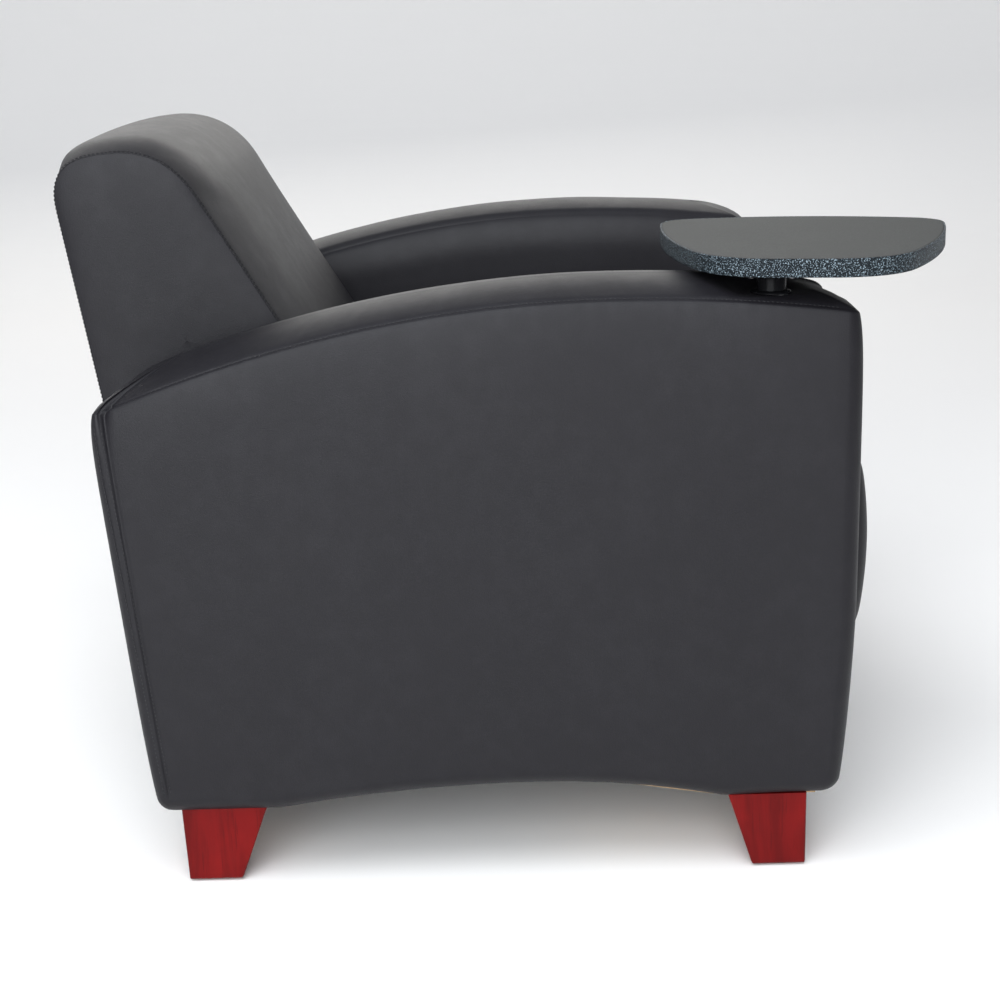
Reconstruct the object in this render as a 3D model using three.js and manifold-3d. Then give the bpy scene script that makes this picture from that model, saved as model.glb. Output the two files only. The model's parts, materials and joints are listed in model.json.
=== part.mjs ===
// Upholstered lounge chair for a student or a waiting room, with a swivelling writing tablet on the right arm.
// Millimetres. X runs across the chair, the sitter's right arm is at -X. Y runs from the front to the back.
// Z is up. The pieces are placed from the front of the arms and the floor, and the finished chair is then
// centred over the middle of its footprint.

import * as THREE from "three";
import { mergeVertices } from "three/addons/utils/BufferGeometryUtils.js";
import Module from "manifold-3d";

const wasm = await Module();
wasm.setup();

// ---- Driving dimensions ----------------------------------------------------------------------------

const gap = 0.3; // between pieces that touch
const ease = 1.5; // between the frame and the padded covers around it

// Arms
const chairWidth = 910;
const armWidth = 170;
const armDepth = 787; // rear edge at the top
const armLip = 4; // how far the front face leans forward at the top
const armDepthBottom = 737;
const armToe = 9; // how far the front edge steps back at the bottom
const bodyBottom = 82; // underside of the covers over the feet
const crownHeight = 631.5; // highest line of the arms
const crownPlace = 250; // how far behind the front it lies
const crownRadius = 1275;
const crownDome = 16; // how far the middle of the top stands over its side seams
const domeFlat = 10; // level strip along the middle of the top
const frontBow = 5;
const archStart = 140;
const archEnd = 602;
const archRise = 24;
const armRound = { toe: 24, arch: 30, heel: 24, shoulder: 26, brow: 24 };

// Arm frame
const sidePadding = 12; // foam and leather on the flat faces
const edgePadding = 24; // foam and leather over the outline of the boards
const panelThickness = 9;
const topRailHeight = 28;
const postDepth = 34;
const bottomRailTop = 150;
const topRailFront = 8; // from the front of the frame
const topRailRear = 24; // from the back of the frame
const archRailRound = 20;

// Seat
const seatBottom = 194;
const seatTop = 432;
const seatFront = -32; // where the front of the cushion starts to swell
const seatSwell = 14;
const seatRear = 512;
const seatSide = 4; // between the cushion and each arm
const seatRound = { toe: 30, heel: 22, rear: 24, nose: 46 };
const seatCrown = 6;
const seatEdge = { run: 26, drop: 12, segments: 3 }; // rounded side edges
const railBottom = 120;
const railTop = 188;
const railThickness = 28;
const borderFront = -6;
const borderThickness = 26;
const borderRound = 8;
const borderClearance = 4.5; // under the cushion and over the edge of the arms
const springWire = 4;
const springCount = 4;
const springWidth = 46;
const springBends = 12;
const dustCoverThickness = 2;

// Back
const backHeight = 780;
const backRearFoot = 737; // rear face at the underside
const backLean = 0.148; // rear face, run over rise
const backPanelThickness = 10;
const backPanelTop = 700;
const backPanelMargin = 14; // of the cover beside the panel
const backPadding = 16;
const backFootFront = 528;
const backFoot = 300; // underside of the back's padding, behind the cushion
const backWaist = [516, 444]; // lower end of the sloping front face
const backCrest = 58; // curve at the top of the rear face
const backBrow = [704, 768]; // where the sloping front face meets the top
const backSwell = 5; // of the sloping front face
const backRound = { brow: 58, waist: 30 };
const backEdge = { run: 30, drop: 10, segments: 3 }; // rounded side edges
const backRailHeight = 50;
const backFrameDrop = 40; // top of the frame under the top of the foam
const foamClearance = 4;
const uprightWidth = 40;
const uprightDepth = 50;
const webbingWidth = 52;
const webbingThickness = 2;
const webbingCount = 3;

// Feet
const footHeight = 79;
const footTop = 84; // size of the square top
const footSole = 57; // size of the square sole
const footSoleRound = 6;
const footSideInset = 15;
const frontFootInset = 46;
const rearFootInset = 24;
const glideRadius = 13;
const glideHeight = 2;
const bolt = { radius: 4, clearance: 0.4, inFoot: 42, inRail: 38 };

// Writing tablet and its swivel
const tabletTop = 659;
const tabletThickness = 18.5;
const tabletBand = 2.5; // thickness of the edge band
const tabletNear = -47; // edge on the post's side, from the pivot
const tabletFar = 280; // corners of the far edge, from the pivot
const tabletNearHalf = 86;
const tabletFarHalf = 158;
const tabletFlankBow = 20;
const tabletFarBow = 29;
const tabletNearBow = 2;
const tabletOffset = -33; // centreline of the tablet, ahead of the pivot
const tabletRest = -9; // degrees turned about the post at rest
const pivotFromSide = 43; // from the arm's outer face
const pivotFromFront = 89;
const postRadius = 15;
const runningClearance = 0.3;
const bushWall = 2;
const socketWall = 2.2;
const socketDepth = 68;
const socketFloor = 4;
const flangeRadius = 20.5;
const flangeHeight = 3.2;
const flangeBevel = 1.6;
const flangeLevel = 619; // underside of the flange
const washerHeight = 2;
const plateSize = 60;
const plateThickness = 2.5;
const screw = { head: 3.6, headHeight: 1.6, shank: 1.9, length: 11, spread: 20 };
const tabletRound = { near: 58, far: 34 };
const holeEnd = 2; // room past the end of a bolt or screw

// ---- Values worked out from them --------------------------------------------------------------------

const armOuter = chairWidth / 2;
const armInner = armOuter - armWidth;
const domeRun = (armWidth - domeFlat) / 2;
const seatHalf = armInner - seatSide;
const frameHalf = armInner - gap;
const tabletBottom = tabletTop - tabletThickness;
const pivot = new THREE.Vector2(-armOuter + pivotFromSide, pivotFromFront);
const bushOuter = postRadius + runningClearance + bushWall;
const socketOuter = bushOuter + gap + socketWall;
const socketBottom = flangeLevel - gap - socketDepth;

const crownAt = (y) => crownHeight - (y - crownPlace) ** 2 / (2 * crownRadius);
const rearFaceAt = (z) => backRearFoot + (z - bodyBottom) * backLean;

// ---- Materials --------------------------------------------------------------------------------------

const material = (color, roughness, metalness = 0) => new THREE.MeshStandardMaterial({ color, roughness, metalness });
const leather = material(0x26262a, 0.5);
const fabric = material(0x161617, 0.95);
const foam = material(0xd9cf9f, 0.95);
const plywood = material(0xc9a774, 0.8);
const hardwood = material(0xb98f5c, 0.75);
const mahogany = material(0x8a1c16, 0.35);
const laminate = material(0x4a4d4c, 0.6);
const speckledBand = material(0x1c1f24, 0.4);
const blackSteel = material(0x0c0c0e, 0.3, 0.9);
const zincSteel = material(0xa8aaad, 0.35, 1);
const springSteel = material(0x5b5d60, 0.4, 1);
const nylon = material(0x18181a, 0.55);
const webbing = material(0x2d2b29, 0.9);

// ---- Geometry helpers -------------------------------------------------------------------------------

const cornerSteps = 3;
const past = 10; // how far a cutting tool runs on past the piece it cuts

// A corner of an outline: its place, how much of each edge its curve takes, and how far the edge to the
// next corner bows out, drawn in a number of steps.
const corner = (y, z, round = 0, bow = 0, steps = 1) => ({ at: new THREE.Vector2(y, z), round, bow, steps });

// A closed outline, counter-clockwise, from its corners.
function outline(corners) {
  const edges = corners.map((from, i) => {
    const along = corners[(i + 1) % corners.length].at.clone().sub(from.at);
    const outward = new THREE.Vector2(along.y, -along.x).normalize();
    const point = (t) =>
      from.at.clone().addScaledVector(along, t).addScaledVector(outward, 4 * from.bow * t * (1 - t));
    return { length: along.length(), point };
  });
  return corners.flatMap((from, i) => {
    const before = edges.at(i - 1);
    const after = edges[i];
    const start = from.round / after.length;
    const end = 1 - corners[(i + 1) % corners.length].round / after.length;
    const bend = new THREE.QuadraticBezierCurve(
      before.point(1 - from.round / before.length),
      from.at,
      after.point(start),
    );
    const bendPoints = from.round > 0 ? bend.getPoints(cornerSteps) : [from.at.clone()];
    const edgePoints = Array.from({ length: from.steps - 1 }, (_, n) =>
      after.point(start + ((end - start) * (n + 1)) / from.steps),
    );
    return [...bendPoints, ...edgePoints];
  });
}

// The corners of the same outline moved inwards by a distance.
function shrink(corners, distance) {
  return corners.map((from, i) => {
    const normals = [
      [corners.at(i - 1), from],
      [from, corners[(i + 1) % corners.length]],
    ].map(([a, b]) => new THREE.Vector2(a.at.y - b.at.y, b.at.x - a.at.x).normalize());
    const both = normals[0].clone().add(normals[1]);
    const at = from.at.clone().addScaledVector(both, distance / (1 + normals[0].dot(normals[1])));
    return { ...from, at, round: Math.max(from.round - distance, 0) };
  });
}

// A side outline (Y, Z) drawn out across the chair from one X to another, with optional rounded ends.
function across(points, x0, x1, round) {
  const run = round ? round.run : 0;
  const geometry = new THREE.ExtrudeGeometry(new THREE.Shape(points), {
    depth: Math.abs(x1 - x0) - 2 * run,
    bevelEnabled: run > 0,
    bevelThickness: run,
    bevelSize: round ? round.drop : 0,
    bevelOffset: round ? -round.drop : 0,
    bevelSegments: round ? round.segments : 0,
  });
  const turn = new THREE.Matrix4().makeBasis(
    new THREE.Vector3(0, 1, 0),
    new THREE.Vector3(0, 0, 1),
    new THREE.Vector3(1, 0, 0),
  );
  return geometry.applyMatrix4(turn).translate(Math.min(x0, x1) + run, 0, 0);
}

// A plan outline (X, Y) drawn up from one Z to another.
function upright(shape, z0, z1) {
  return new THREE.ExtrudeGeometry(shape, { depth: z1 - z0, bevelEnabled: false }).translate(0, 0, z0);
}

function box(x0, x1, y0, y1, z0, z1) {
  return new THREE.BoxGeometry(Math.abs(x1 - x0), y1 - y0, z1 - z0).translate(
    (x0 + x1) / 2,
    (y0 + y1) / 2,
    (z0 + z1) / 2,
  );
}

// A turned piece about a vertical axis through (x, y), from its radius and height pairs.
function turned(profile, x = 0, y = 0, segments = 24) {
  return new THREE.LatheGeometry(profile.map(([r, z]) => new THREE.Vector2(r, z)), segments)
    .rotateX(Math.PI / 2)
    .translate(x, y, 0);
}

const pin = (radius, z0, z1, x, y, segments = 12) =>
  turned([[0, z0], [radius, z0], [radius, z1], [0, z1]], x, y, segments);

const ring = (inner, outer, z0, z1, x, y, segments = 24) =>
  turned([[inner, z0], [outer, z0], [outer, z1], [inner, z1], [inner, z0]], x, y, segments);

function solid(geometry) {
  const bare = geometry.clone().deleteAttribute("normal").deleteAttribute("uv");
  const merged = mergeVertices(bare, 1e-3);
  return new wasm.Manifold(
    new wasm.Mesh({
      numProp: 3,
      vertProperties: merged.attributes.position.array,
      triVerts: new Uint32Array(merged.index.array),
    }),
  );
}

function surface(manifold) {
  const mesh = manifold.getMesh();
  const geometry = new THREE.BufferGeometry()
    .setAttribute("position", new THREE.BufferAttribute(mesh.vertProperties, 3))
    .setIndex(new THREE.BufferAttribute(mesh.triVerts, 1))
    .toNonIndexed();
  geometry.computeVertexNormals();
  return geometry;
}

const cut = (body, ...tools) => surface(tools.reduce((rest, tool) => rest.subtract(solid(tool)), solid(body)));
const join = (...bodies) => surface(bodies.map(solid).reduce((sum, body) => sum.add(body)));

const chair = new THREE.Group();

function add(name, geometry, look, parent = chair) {
  const mesh = new THREE.Mesh(geometry, look);
  mesh.name = name;
  parent.add(mesh);
}

// ---- Arms -------------------------------------------------------------------------------------------

const crownBow = (y0, y1) => (y1 - y0) ** 2 / (8 * crownRadius);

// Side outline of an arm, moved inwards by a depth.
function armOutline(depth) {
  const round = (size) => Math.max(size - depth, 0);
  const front = depth - armLip;
  const rear = armDepth - depth;
  return outline([
    corner(armToe + depth, bodyBottom + depth, round(armRound.toe)),
    corner(archStart, bodyBottom + depth, armRound.arch, -archRise, 6),
    corner(archEnd, bodyBottom + depth, armRound.arch),
    corner(armDepthBottom - depth, bodyBottom + depth, round(armRound.heel)),
    corner(rear, crownAt(rear) - depth, round(armRound.shoulder), crownBow(front, rear), 10),
    corner(front, crownAt(front) - depth, round(armRound.brow), frontBow, 4),
  ]);
}

// A strip that follows the crown, between two depths below it.
function crownStrip(y0, y1, above, below) {
  return outline([
    corner(y0, crownAt(y0) - below, 0, -crownBow(y0, y1), 8),
    corner(y1, crownAt(y1) - below),
    corner(y1, crownAt(y1) - above, 0, crownBow(y0, y1), 8),
    corner(y0, crownAt(y0) - above),
  ]);
}

const railUnder = edgePadding + ease + topRailHeight;
const frameFront = edgePadding + ease;
const frontInside = armToe + frameFront;
const rearFoot = new THREE.Vector2(armDepthBottom - frameFront, bodyBottom + frameFront);
const rearHead = new THREE.Vector2(armDepth - frameFront, crownAt(armDepth - frameFront) - frameFront);
const rearInside = (z) => THREE.MathUtils.mapLinear(z, rearFoot.y, rearHead.y, rearFoot.x, rearHead.x);

const feet = [
  { place: "front", edge: frontFootInset, inward: 1 },
  { place: "rear", edge: armDepthBottom - rearFootInset, inward: -1 },
];
const footBoltY = (foot) => foot.edge + (foot.inward * footSole) / 2;
const footBoltX = (side) => side * (armOuter - footSideInset - footSole / 2);

function buildArm(name, side) {
  const at = (distance) => side * (armOuter - distance);
  const inner = armWidth - sidePadding;
  const hasTablet = side < 0;

  const hollow = join(
    across(armOutline(edgePadding), at(sidePadding), at(inner)),
    box(at(sidePadding), at(inner), frontInside, armDepthBottom - frameFront, bodyBottom - past, bottomRailTop),
  );
  const cover = across(armOutline(0), at(0), at(armWidth), { run: domeRun, drop: crownDome, segments: 5 });
  const socketHoles = [
    pin(socketOuter + gap, socketBottom - gap, crownHeight + past, pivot.x, pivot.y, 24),
    pin(flangeRadius + gap, flangeLevel - gap, crownHeight + past, pivot.x, pivot.y, 24),
  ];
  const forSocket = (body) => (hasTablet ? cut(body, ...socketHoles) : body);
  add(`${name}_arm_cover`, forSocket(cut(cover, hollow)), leather);

  const board = armOutline(edgePadding + ease);
  const outerFace = sidePadding + gap;
  const innerFace = inner - gap;
  const outerPanel = across(board, at(outerFace), at(outerFace + panelThickness));
  add(`${name}_arm_outer_panel`, forSocket(outerPanel), plywood);
  add(`${name}_arm_inner_panel`, across(board, at(innerFace - panelThickness), at(innerFace)), plywood);

  const low = at(outerFace + panelThickness + gap);
  const high = at(innerFace - panelThickness - gap);
  const topRail = across(
    crownStrip(frameFront + topRailFront, armDepth - frameFront - topRailRear, edgePadding + ease, railUnder),
    low,
    high,
  );
  add(`${name}_arm_top_rail`, forSocket(topRail), hardwood);

  const postTop = (y) => crownAt(y) - railUnder - gap - ease;
  const frontPost = outline([
    corner(frontInside, bottomRailTop + gap),
    corner(frontInside + postDepth, bottomRailTop + gap),
    corner(frontInside + postDepth, postTop(frontInside + postDepth)),
    corner(frontInside, postTop(frontInside)),
  ]);
  add(`${name}_arm_front_post`, forSocket(across(frontPost, low, high)), hardwood);

  const rearLow = rearInside(bottomRailTop);
  const rearHigh = rearInside(postTop(armDepth));
  const rearPost = outline([
    corner(rearLow - postDepth, bottomRailTop + gap),
    corner(rearLow, bottomRailTop + gap),
    corner(rearHigh, postTop(rearHigh)),
    corner(rearHigh - postDepth, postTop(rearHigh - postDepth)),
  ]);
  add(`${name}_arm_rear_post`, across(rearPost, low, high), hardwood);

  const bottomRail = outline([
    corner(frontInside + ease, bodyBottom + gap),
    corner(archStart, bodyBottom + gap, archRailRound, -archRise, 6),
    corner(archEnd, bodyBottom + gap, archRailRound),
    corner(armDepthBottom - frameFront - ease, bodyBottom + gap),
    corner(armDepthBottom - frameFront - ease, bottomRailTop),
    corner(frontInside + ease, bottomRailTop),
  ]);
  const footHoles = feet.map((foot) =>
    pin(bolt.radius + bolt.clearance, 0, bodyBottom + bolt.inRail + holeEnd, footBoltX(side), footBoltY(foot)),
  );
  add(`${name}_arm_bottom_rail`, cut(across(bottomRail, low, high), ...footHoles), hardwood);
}

// ---- Feet -------------------------------------------------------------------------------------------

function buildFeet(name, side) {
  const outer = side * (armOuter - footSideInset);
  const soleZ = glideHeight + gap;
  const topZ = soleZ + footHeight;
  feet.forEach((foot) => {
    const y = (distance) => foot.edge + foot.inward * distance;
    const flank = [
      corner(y(0), soleZ, footSoleRound),
      corner(y(footSole), soleZ, footSoleRound),
      corner(y(footTop), topZ),
      corner(y(0), topZ),
    ];
    const shape = outline(foot.inward > 0 ? flank : flank.toReversed());
    const block = across(shape, outer, outer - side * footTop);
    // The wedge that tapers the inner side, drawn along Y.
    const taper = (footTop - footSole) / footHeight;
    const wedge = new THREE.Shape([
      new THREE.Vector2(outer - side * (footSole - past * taper), soleZ - past),
      new THREE.Vector2(outer - side * (footTop + past), soleZ - past),
      new THREE.Vector2(outer - side * (footTop + past), topZ + past),
      new THREE.Vector2(outer - side * (footTop + past * taper), topZ + past),
    ]);
    const wedgeBlock = new THREE.ExtrudeGeometry(wedge, { depth: footTop + 2 * past, bevelEnabled: false })
      .rotateX(Math.PI / 2)
      .translate(0, Math.max(y(0), y(footTop)) + past, 0);
    const x = footBoltX(side);
    const middle = footBoltY(foot);
    const hole = pin(bolt.radius + bolt.clearance, topZ - bolt.inFoot - holeEnd, topZ + past, x, middle);
    add(`${name}_${foot.place}_foot`, cut(block, wedgeBlock, hole), mahogany);
    const hangerBolt = pin(bolt.radius, topZ - bolt.inFoot, bodyBottom + bolt.inRail, x, middle);
    add(`${name}_${foot.place}_hanger_bolt`, hangerBolt, zincSteel);
    add(`${name}_${foot.place}_glide`, pin(glideRadius, 0, glideHeight, x, middle, 20), nylon);
  });
}

// ---- Seat -------------------------------------------------------------------------------------------

function buildSeat() {
  const cushion = outline([
    corner(seatFront, seatBottom, seatRound.toe),
    corner(seatRear, seatBottom, seatRound.heel),
    corner(seatRear, seatTop, seatRound.rear, seatCrown, 3),
    corner(seatFront, seatTop, seatRound.nose, seatSwell, 4),
  ]);
  add("seat_cushion", across(cushion, -seatHalf, seatHalf, seatEdge), leather);

  const border = outline([
    corner(borderFront, bodyBottom + borderClearance, borderRound),
    corner(borderFront + borderThickness, bodyBottom + borderClearance),
    corner(borderFront + borderThickness, seatBottom - borderClearance),
    corner(borderFront, seatBottom - borderClearance, borderRound),
  ]);
  add("front_border", across(border, -frameHalf, frameHalf), leather);

  const frontY = borderFront + borderThickness + gap;
  const rearY = rearFaceAt(railBottom) - backPanelThickness - 2 * gap;
  add("seat_front_rail", box(-frameHalf, frameHalf, frontY, frontY + railThickness, railBottom, railTop), hardwood);
  add("seat_rear_rail", box(-frameHalf, frameHalf, rearY - railThickness, rearY, railBottom, railTop), hardwood);
  const sideStart = frontY + railThickness + gap;
  const sideEnd = rearY - railThickness - gap;
  [["right", -1], ["left", 1]].forEach(([name, side]) => {
    const rail = box(side * (frameHalf - railThickness), side * frameHalf, sideStart, sideEnd, railBottom, railTop);
    add(`seat_${name}_rail`, rail, hardwood);
  });

  // Zigzag springs lie on the front and rear rails.
  const springStart = frontY + railThickness / 2;
  const springLength = rearY - railThickness / 2 - springStart;
  const springZ = railTop + gap + springWire / 2;
  const pitch = (2 * (frameHalf - railThickness)) / springCount;
  for (let n = 0; n < springCount; n += 1) {
    const middle = (n - (springCount - 1) / 2) * pitch;
    const bends = Array.from({ length: springBends + 1 }, (_, k) => {
      const swing = k === 0 || k === springBends ? 0 : (k % 2 ? 1 : -1) * (springWidth / 2);
      return new THREE.Vector3(middle + swing, springStart + (springLength * k) / springBends, springZ);
    });
    const route = new THREE.CatmullRomCurve3(bends);
    const section = new THREE.Shape().absarc(0, 0, springWire / 2, 0, 2 * Math.PI);
    const wire = new THREE.ExtrudeGeometry(section, {
      steps: springBends * 3,
      curveSegments: 3,
      extrudePath: route,
    });
    add(`seat_spring_${n + 1}`, wire, springSteel);
  }

  const dustTop = railBottom - gap;
  const dust = box(-frameHalf, frameHalf, frontY, rearY, dustTop - dustCoverThickness, dustTop);
  add("dust_cover", dust, fabric);
}

// ---- Back -------------------------------------------------------------------------------------------

function buildBack() {
  const rearAt = (z) => rearFaceAt(z) - backPanelThickness - gap;
  const wedge = [
    corner(backFootFront, backFoot),
    corner(rearFaceAt(backFoot), backFoot),
    corner(rearFaceAt(backHeight), backHeight, backCrest),
    corner(...backBrow, backRound.brow, backSwell, 3),
    corner(...backWaist, backRound.waist),
  ];
  const mouthLow = backFoot - backPadding;
  const mouthHigh = backFoot + 2 * backPadding;
  const mouth = outline([
    corner(backFootFront + backPadding, mouthLow),
    corner(rearAt(mouthLow) - backPadding, mouthLow),
    corner(rearAt(mouthHigh) - backPadding, mouthHigh),
    corner(backFootFront + backPadding, mouthHigh),
  ]);
  const hollowHalf = seatHalf - backPadding;
  const hollow = join(
    across(outline(shrink(wedge, backPadding)), -hollowHalf, hollowHalf),
    across(mouth, -hollowHalf, hollowHalf),
  );
  const cover = across(outline(wedge), -seatHalf, seatHalf, backEdge);

  // The outside back panel is let into the rear of the cover.
  const panelBetween = (inner, outer, top) =>
    outline([
      corner(rearFaceAt(bodyBottom) - inner, bodyBottom),
      corner(rearFaceAt(bodyBottom) + outer, bodyBottom),
      corner(rearFaceAt(top) + outer, top),
      corner(rearFaceAt(top) - inner, top),
    ]);
  const panelHalf = seatHalf - backPanelMargin;
  const recessHalf = panelHalf + gap;
  const recess = across(
    panelBetween(backPanelThickness + gap, backPanelThickness, backPanelTop + gap),
    -recessHalf,
    recessHalf,
  );
  add("back_cover", cut(cover, hollow, recess), leather);
  const panel = panelBetween(backPanelThickness, 0, backPanelTop);
  add("outside_back_panel", across(panel, -panelHalf, panelHalf), leather);

  // A slab that leans with the rear face, from one depth behind the cover to another.
  const slab = (near, far, z0, z1) =>
    outline([
      corner(rearAt(z0) - far, z0),
      corner(rearAt(z0) - near, z0),
      corner(rearAt(z1) - near, z1),
      corner(rearAt(z1) - far, z1),
    ]);
  const near = backPadding + ease;
  const far = near + uprightDepth;
  const frameTop = backHeight - 2 * backPadding - backFrameDrop;
  const uprightX = seatHalf - backPadding - ease;
  [["right", -1], ["left", 1]].forEach(([name, side]) => {
    const post = slab(near, far, railTop + gap, frameTop);
    add(`back_${name}_upright`, across(post, side * (uprightX - uprightWidth), side * uprightX), hardwood);
  });
  const railHalf = uprightX - uprightWidth - gap;
  const railLow = backFoot + backPadding;
  const topRail = slab(near, far, frameTop - backRailHeight, frameTop);
  add("back_top_rail", across(topRail, -railHalf, railHalf), hardwood);
  const lowerRail = slab(near, far, railLow, railLow + backRailHeight);
  add("back_lower_rail", across(lowerRail, -railHalf, railHalf), hardwood);

  const webStart = railLow + backRailHeight;
  const webPitch = (frameTop - backRailHeight - webStart) / webbingCount;
  for (let n = 0; n < webbingCount; n += 1) {
    const z0 = webStart + webPitch * n + (webPitch - webbingWidth) / 2;
    const strap = slab(far + gap, far + gap + webbingThickness, z0, z0 + webbingWidth);
    add(`back_webbing_${n + 1}`, across(strap, -uprightX, uprightX), webbing);
  }

  // Foam between the webbing and the sloping front of the cover.
  const foamBack = far + webbingThickness + 2 * gap;
  const foamTop = frameTop - foamClearance;
  const slope = (backBrow[0] - backWaist[0]) / (backBrow[1] - backWaist[1]);
  const inside = (backPadding + ease) * Math.hypot(1, slope);
  const frontAt = (z) => backWaist[0] + (z - backWaist[1]) * slope + inside;
  const foamLow = backWaist[1] + ease + backPadding;
  const foamFoot = backFoot + foamClearance;
  const foamBlock = outline([
    corner(backFootFront + backPadding + ease, foamFoot),
    corner(rearAt(foamFoot) - foamBack, foamFoot),
    corner(rearAt(foamTop) - foamBack, foamTop),
    corner(Math.min(frontAt(foamTop), rearAt(foamTop) - foamBack - foamClearance), foamTop),
    corner(frontAt(foamLow), foamLow),
  ]);
  add("back_foam", across(foamBlock, -uprightX, uprightX), foam);
}

// ---- Tablet swivel fixed in the right arm -----------------------------------------------------------

function buildSocket() {
  const { x, y } = pivot;
  const top = flangeLevel - gap;
  const socketInner = socketOuter - socketWall;
  const cup = turned(
    [
      [0, socketBottom],
      [socketOuter, socketBottom],
      [socketOuter, top],
      [socketInner, top],
      [socketInner, socketBottom + socketFloor],
      [0, socketBottom + socketFloor],
    ],
    x,
    y,
  );
  add("swivel_socket", cup, zincSteel);
  const floor = socketBottom + socketFloor + gap;
  add("swivel_bush", ring(postRadius + runningClearance, bushOuter, floor, top, x, y), nylon);
  add("thrust_washer", pin(postRadius - gap, floor, floor + washerHeight, x, y, 24), nylon);
  const flange = turned(
    [
      [postRadius + runningClearance, flangeLevel],
      [flangeRadius, flangeLevel],
      [flangeRadius, flangeLevel + flangeHeight - flangeBevel],
      [flangeRadius - flangeBevel, flangeLevel + flangeHeight],
      [postRadius + runningClearance, flangeLevel + flangeHeight],
      [postRadius + runningClearance, flangeLevel],
    ],
    x,
    y,
  );
  add("swivel_flange", flange, blackSteel);
}

// ---- Writing tablet ---------------------------------------------------------------------------------

// Plan outline about the pivot: X runs away from the post, Y towards the back of the chair.
const tabletCorners = [
  corner(tabletNear, tabletOffset - tabletNearHalf, tabletRound.near, tabletFlankBow, 4),
  corner(tabletFar, tabletOffset - tabletFarHalf, tabletRound.far, tabletFarBow, 6),
  corner(tabletFar, tabletOffset + tabletFarHalf, tabletRound.far, tabletFlankBow, 4),
  corner(tabletNear, tabletOffset + tabletNearHalf, tabletRound.near, tabletNearBow, 2),
];

function buildTablet() {
  const tablet = new THREE.Group();
  tablet.position.set(pivot.x, pivot.y, 0);
  tablet.rotation.z = THREE.MathUtils.degToRad(tabletRest);
  chair.add(tablet);

  const screwSpots = [-1, 1].flatMap((i) => [-1, 1].map((j) => [i * screw.spread, j * screw.spread]));
  const screwHoles = screwSpots.map(([x, y]) =>
    pin(screw.shank + gap, tabletBottom - past, tabletBottom + screw.length + holeEnd, x, y, 8),
  );

  const board = upright(new THREE.Shape(outline(shrink(tabletCorners, tabletBand + gap))), tabletBottom, tabletTop);
  add("tablet_board", cut(board, ...screwHoles), laminate, tablet);

  const bandShape = new THREE.Shape(outline(tabletCorners));
  bandShape.holes.push(new THREE.Path(outline(shrink(tabletCorners, tabletBand))));
  add("tablet_edge_band", upright(bandShape, tabletBottom, tabletTop), speckledBand, tablet);

  const plateTop = tabletBottom - gap;
  const plateBottom = plateTop - plateThickness;
  const half = plateSize / 2;
  const plate = box(-half, half, -half, half, plateBottom, plateTop);
  add("tablet_plate", cut(plate, ...screwHoles), blackSteel, tablet);

  const postBottom = socketBottom + socketFloor + washerHeight + 2 * gap;
  add("swivel_post", pin(postRadius, postBottom, plateBottom - gap, 0, 0, 24), blackSteel, tablet);

  screwSpots.forEach(([x, y], i) => {
    const headTop = plateBottom - gap;
    const body = turned(
      [
        [0, headTop - screw.headHeight],
        [screw.head, headTop - screw.headHeight],
        [screw.head, headTop],
        [screw.shank, headTop],
        [screw.shank, tabletBottom + screw.length],
        [0, tabletBottom + screw.length],
      ],
      x,
      y,
      8,
    );
    add(`tablet_screw_${i + 1}`, body, zincSteel, tablet);
  });
}

// ---- Assembly ---------------------------------------------------------------------------------------

[["right", -1], ["left", 1]].forEach(([name, side]) => {
  buildArm(name, side);
  buildFeet(name, side);
});
buildSeat();
buildBack();
buildSocket();
buildTablet();

// The origin is the middle of the bounding box, on the floor.
const bounds = new THREE.Box3().setFromObject(chair, true);
const middle = bounds.getCenter(new THREE.Vector3());
chair.position.set(-middle.x, -middle.y, -bounds.min.z);

const part = new THREE.Group();
part.add(chair);

export default part;
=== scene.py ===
"""Upholstered lounge chair with a swivelling writing tablet, built around its packed frame.

Metres: X towards the sitter's left, Y from the front to the back, Z up. Shapes are worked out from the
front of the arms, the middle of the chair and the floor, and make_mesh sets them down at ORIGIN.
"""

import json
import math

import bmesh
import bpy
import numpy as np
from bpy.props import FloatProperty, FloatVectorProperty, IntProperty, PointerProperty
from mathutils import Matrix, Vector


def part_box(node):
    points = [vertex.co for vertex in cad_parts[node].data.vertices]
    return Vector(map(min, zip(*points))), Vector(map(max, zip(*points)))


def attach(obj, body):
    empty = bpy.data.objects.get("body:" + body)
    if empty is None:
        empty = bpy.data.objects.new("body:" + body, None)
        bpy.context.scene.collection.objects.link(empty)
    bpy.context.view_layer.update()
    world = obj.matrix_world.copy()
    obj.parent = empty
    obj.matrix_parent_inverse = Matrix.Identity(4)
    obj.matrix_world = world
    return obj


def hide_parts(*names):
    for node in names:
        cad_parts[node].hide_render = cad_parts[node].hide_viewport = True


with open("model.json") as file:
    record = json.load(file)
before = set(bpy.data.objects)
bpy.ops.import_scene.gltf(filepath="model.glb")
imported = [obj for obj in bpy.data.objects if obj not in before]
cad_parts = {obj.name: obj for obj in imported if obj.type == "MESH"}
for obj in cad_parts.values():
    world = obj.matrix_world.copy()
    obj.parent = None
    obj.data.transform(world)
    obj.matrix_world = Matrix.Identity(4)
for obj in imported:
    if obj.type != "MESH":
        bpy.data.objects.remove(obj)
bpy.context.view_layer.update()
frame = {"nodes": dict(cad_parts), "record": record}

bl_info = {
    "name": "Tablet Arm Lounge Chair",
    "version": (1, 0, 0),
    "blender": (4, 5, 0),
    "location": "3D View > Sidebar > Lounge Chair",
    "description": "Builds an upholstered lounge chair with a swivelling writing tablet around its frame",
    "category": "Object",
}

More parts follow.
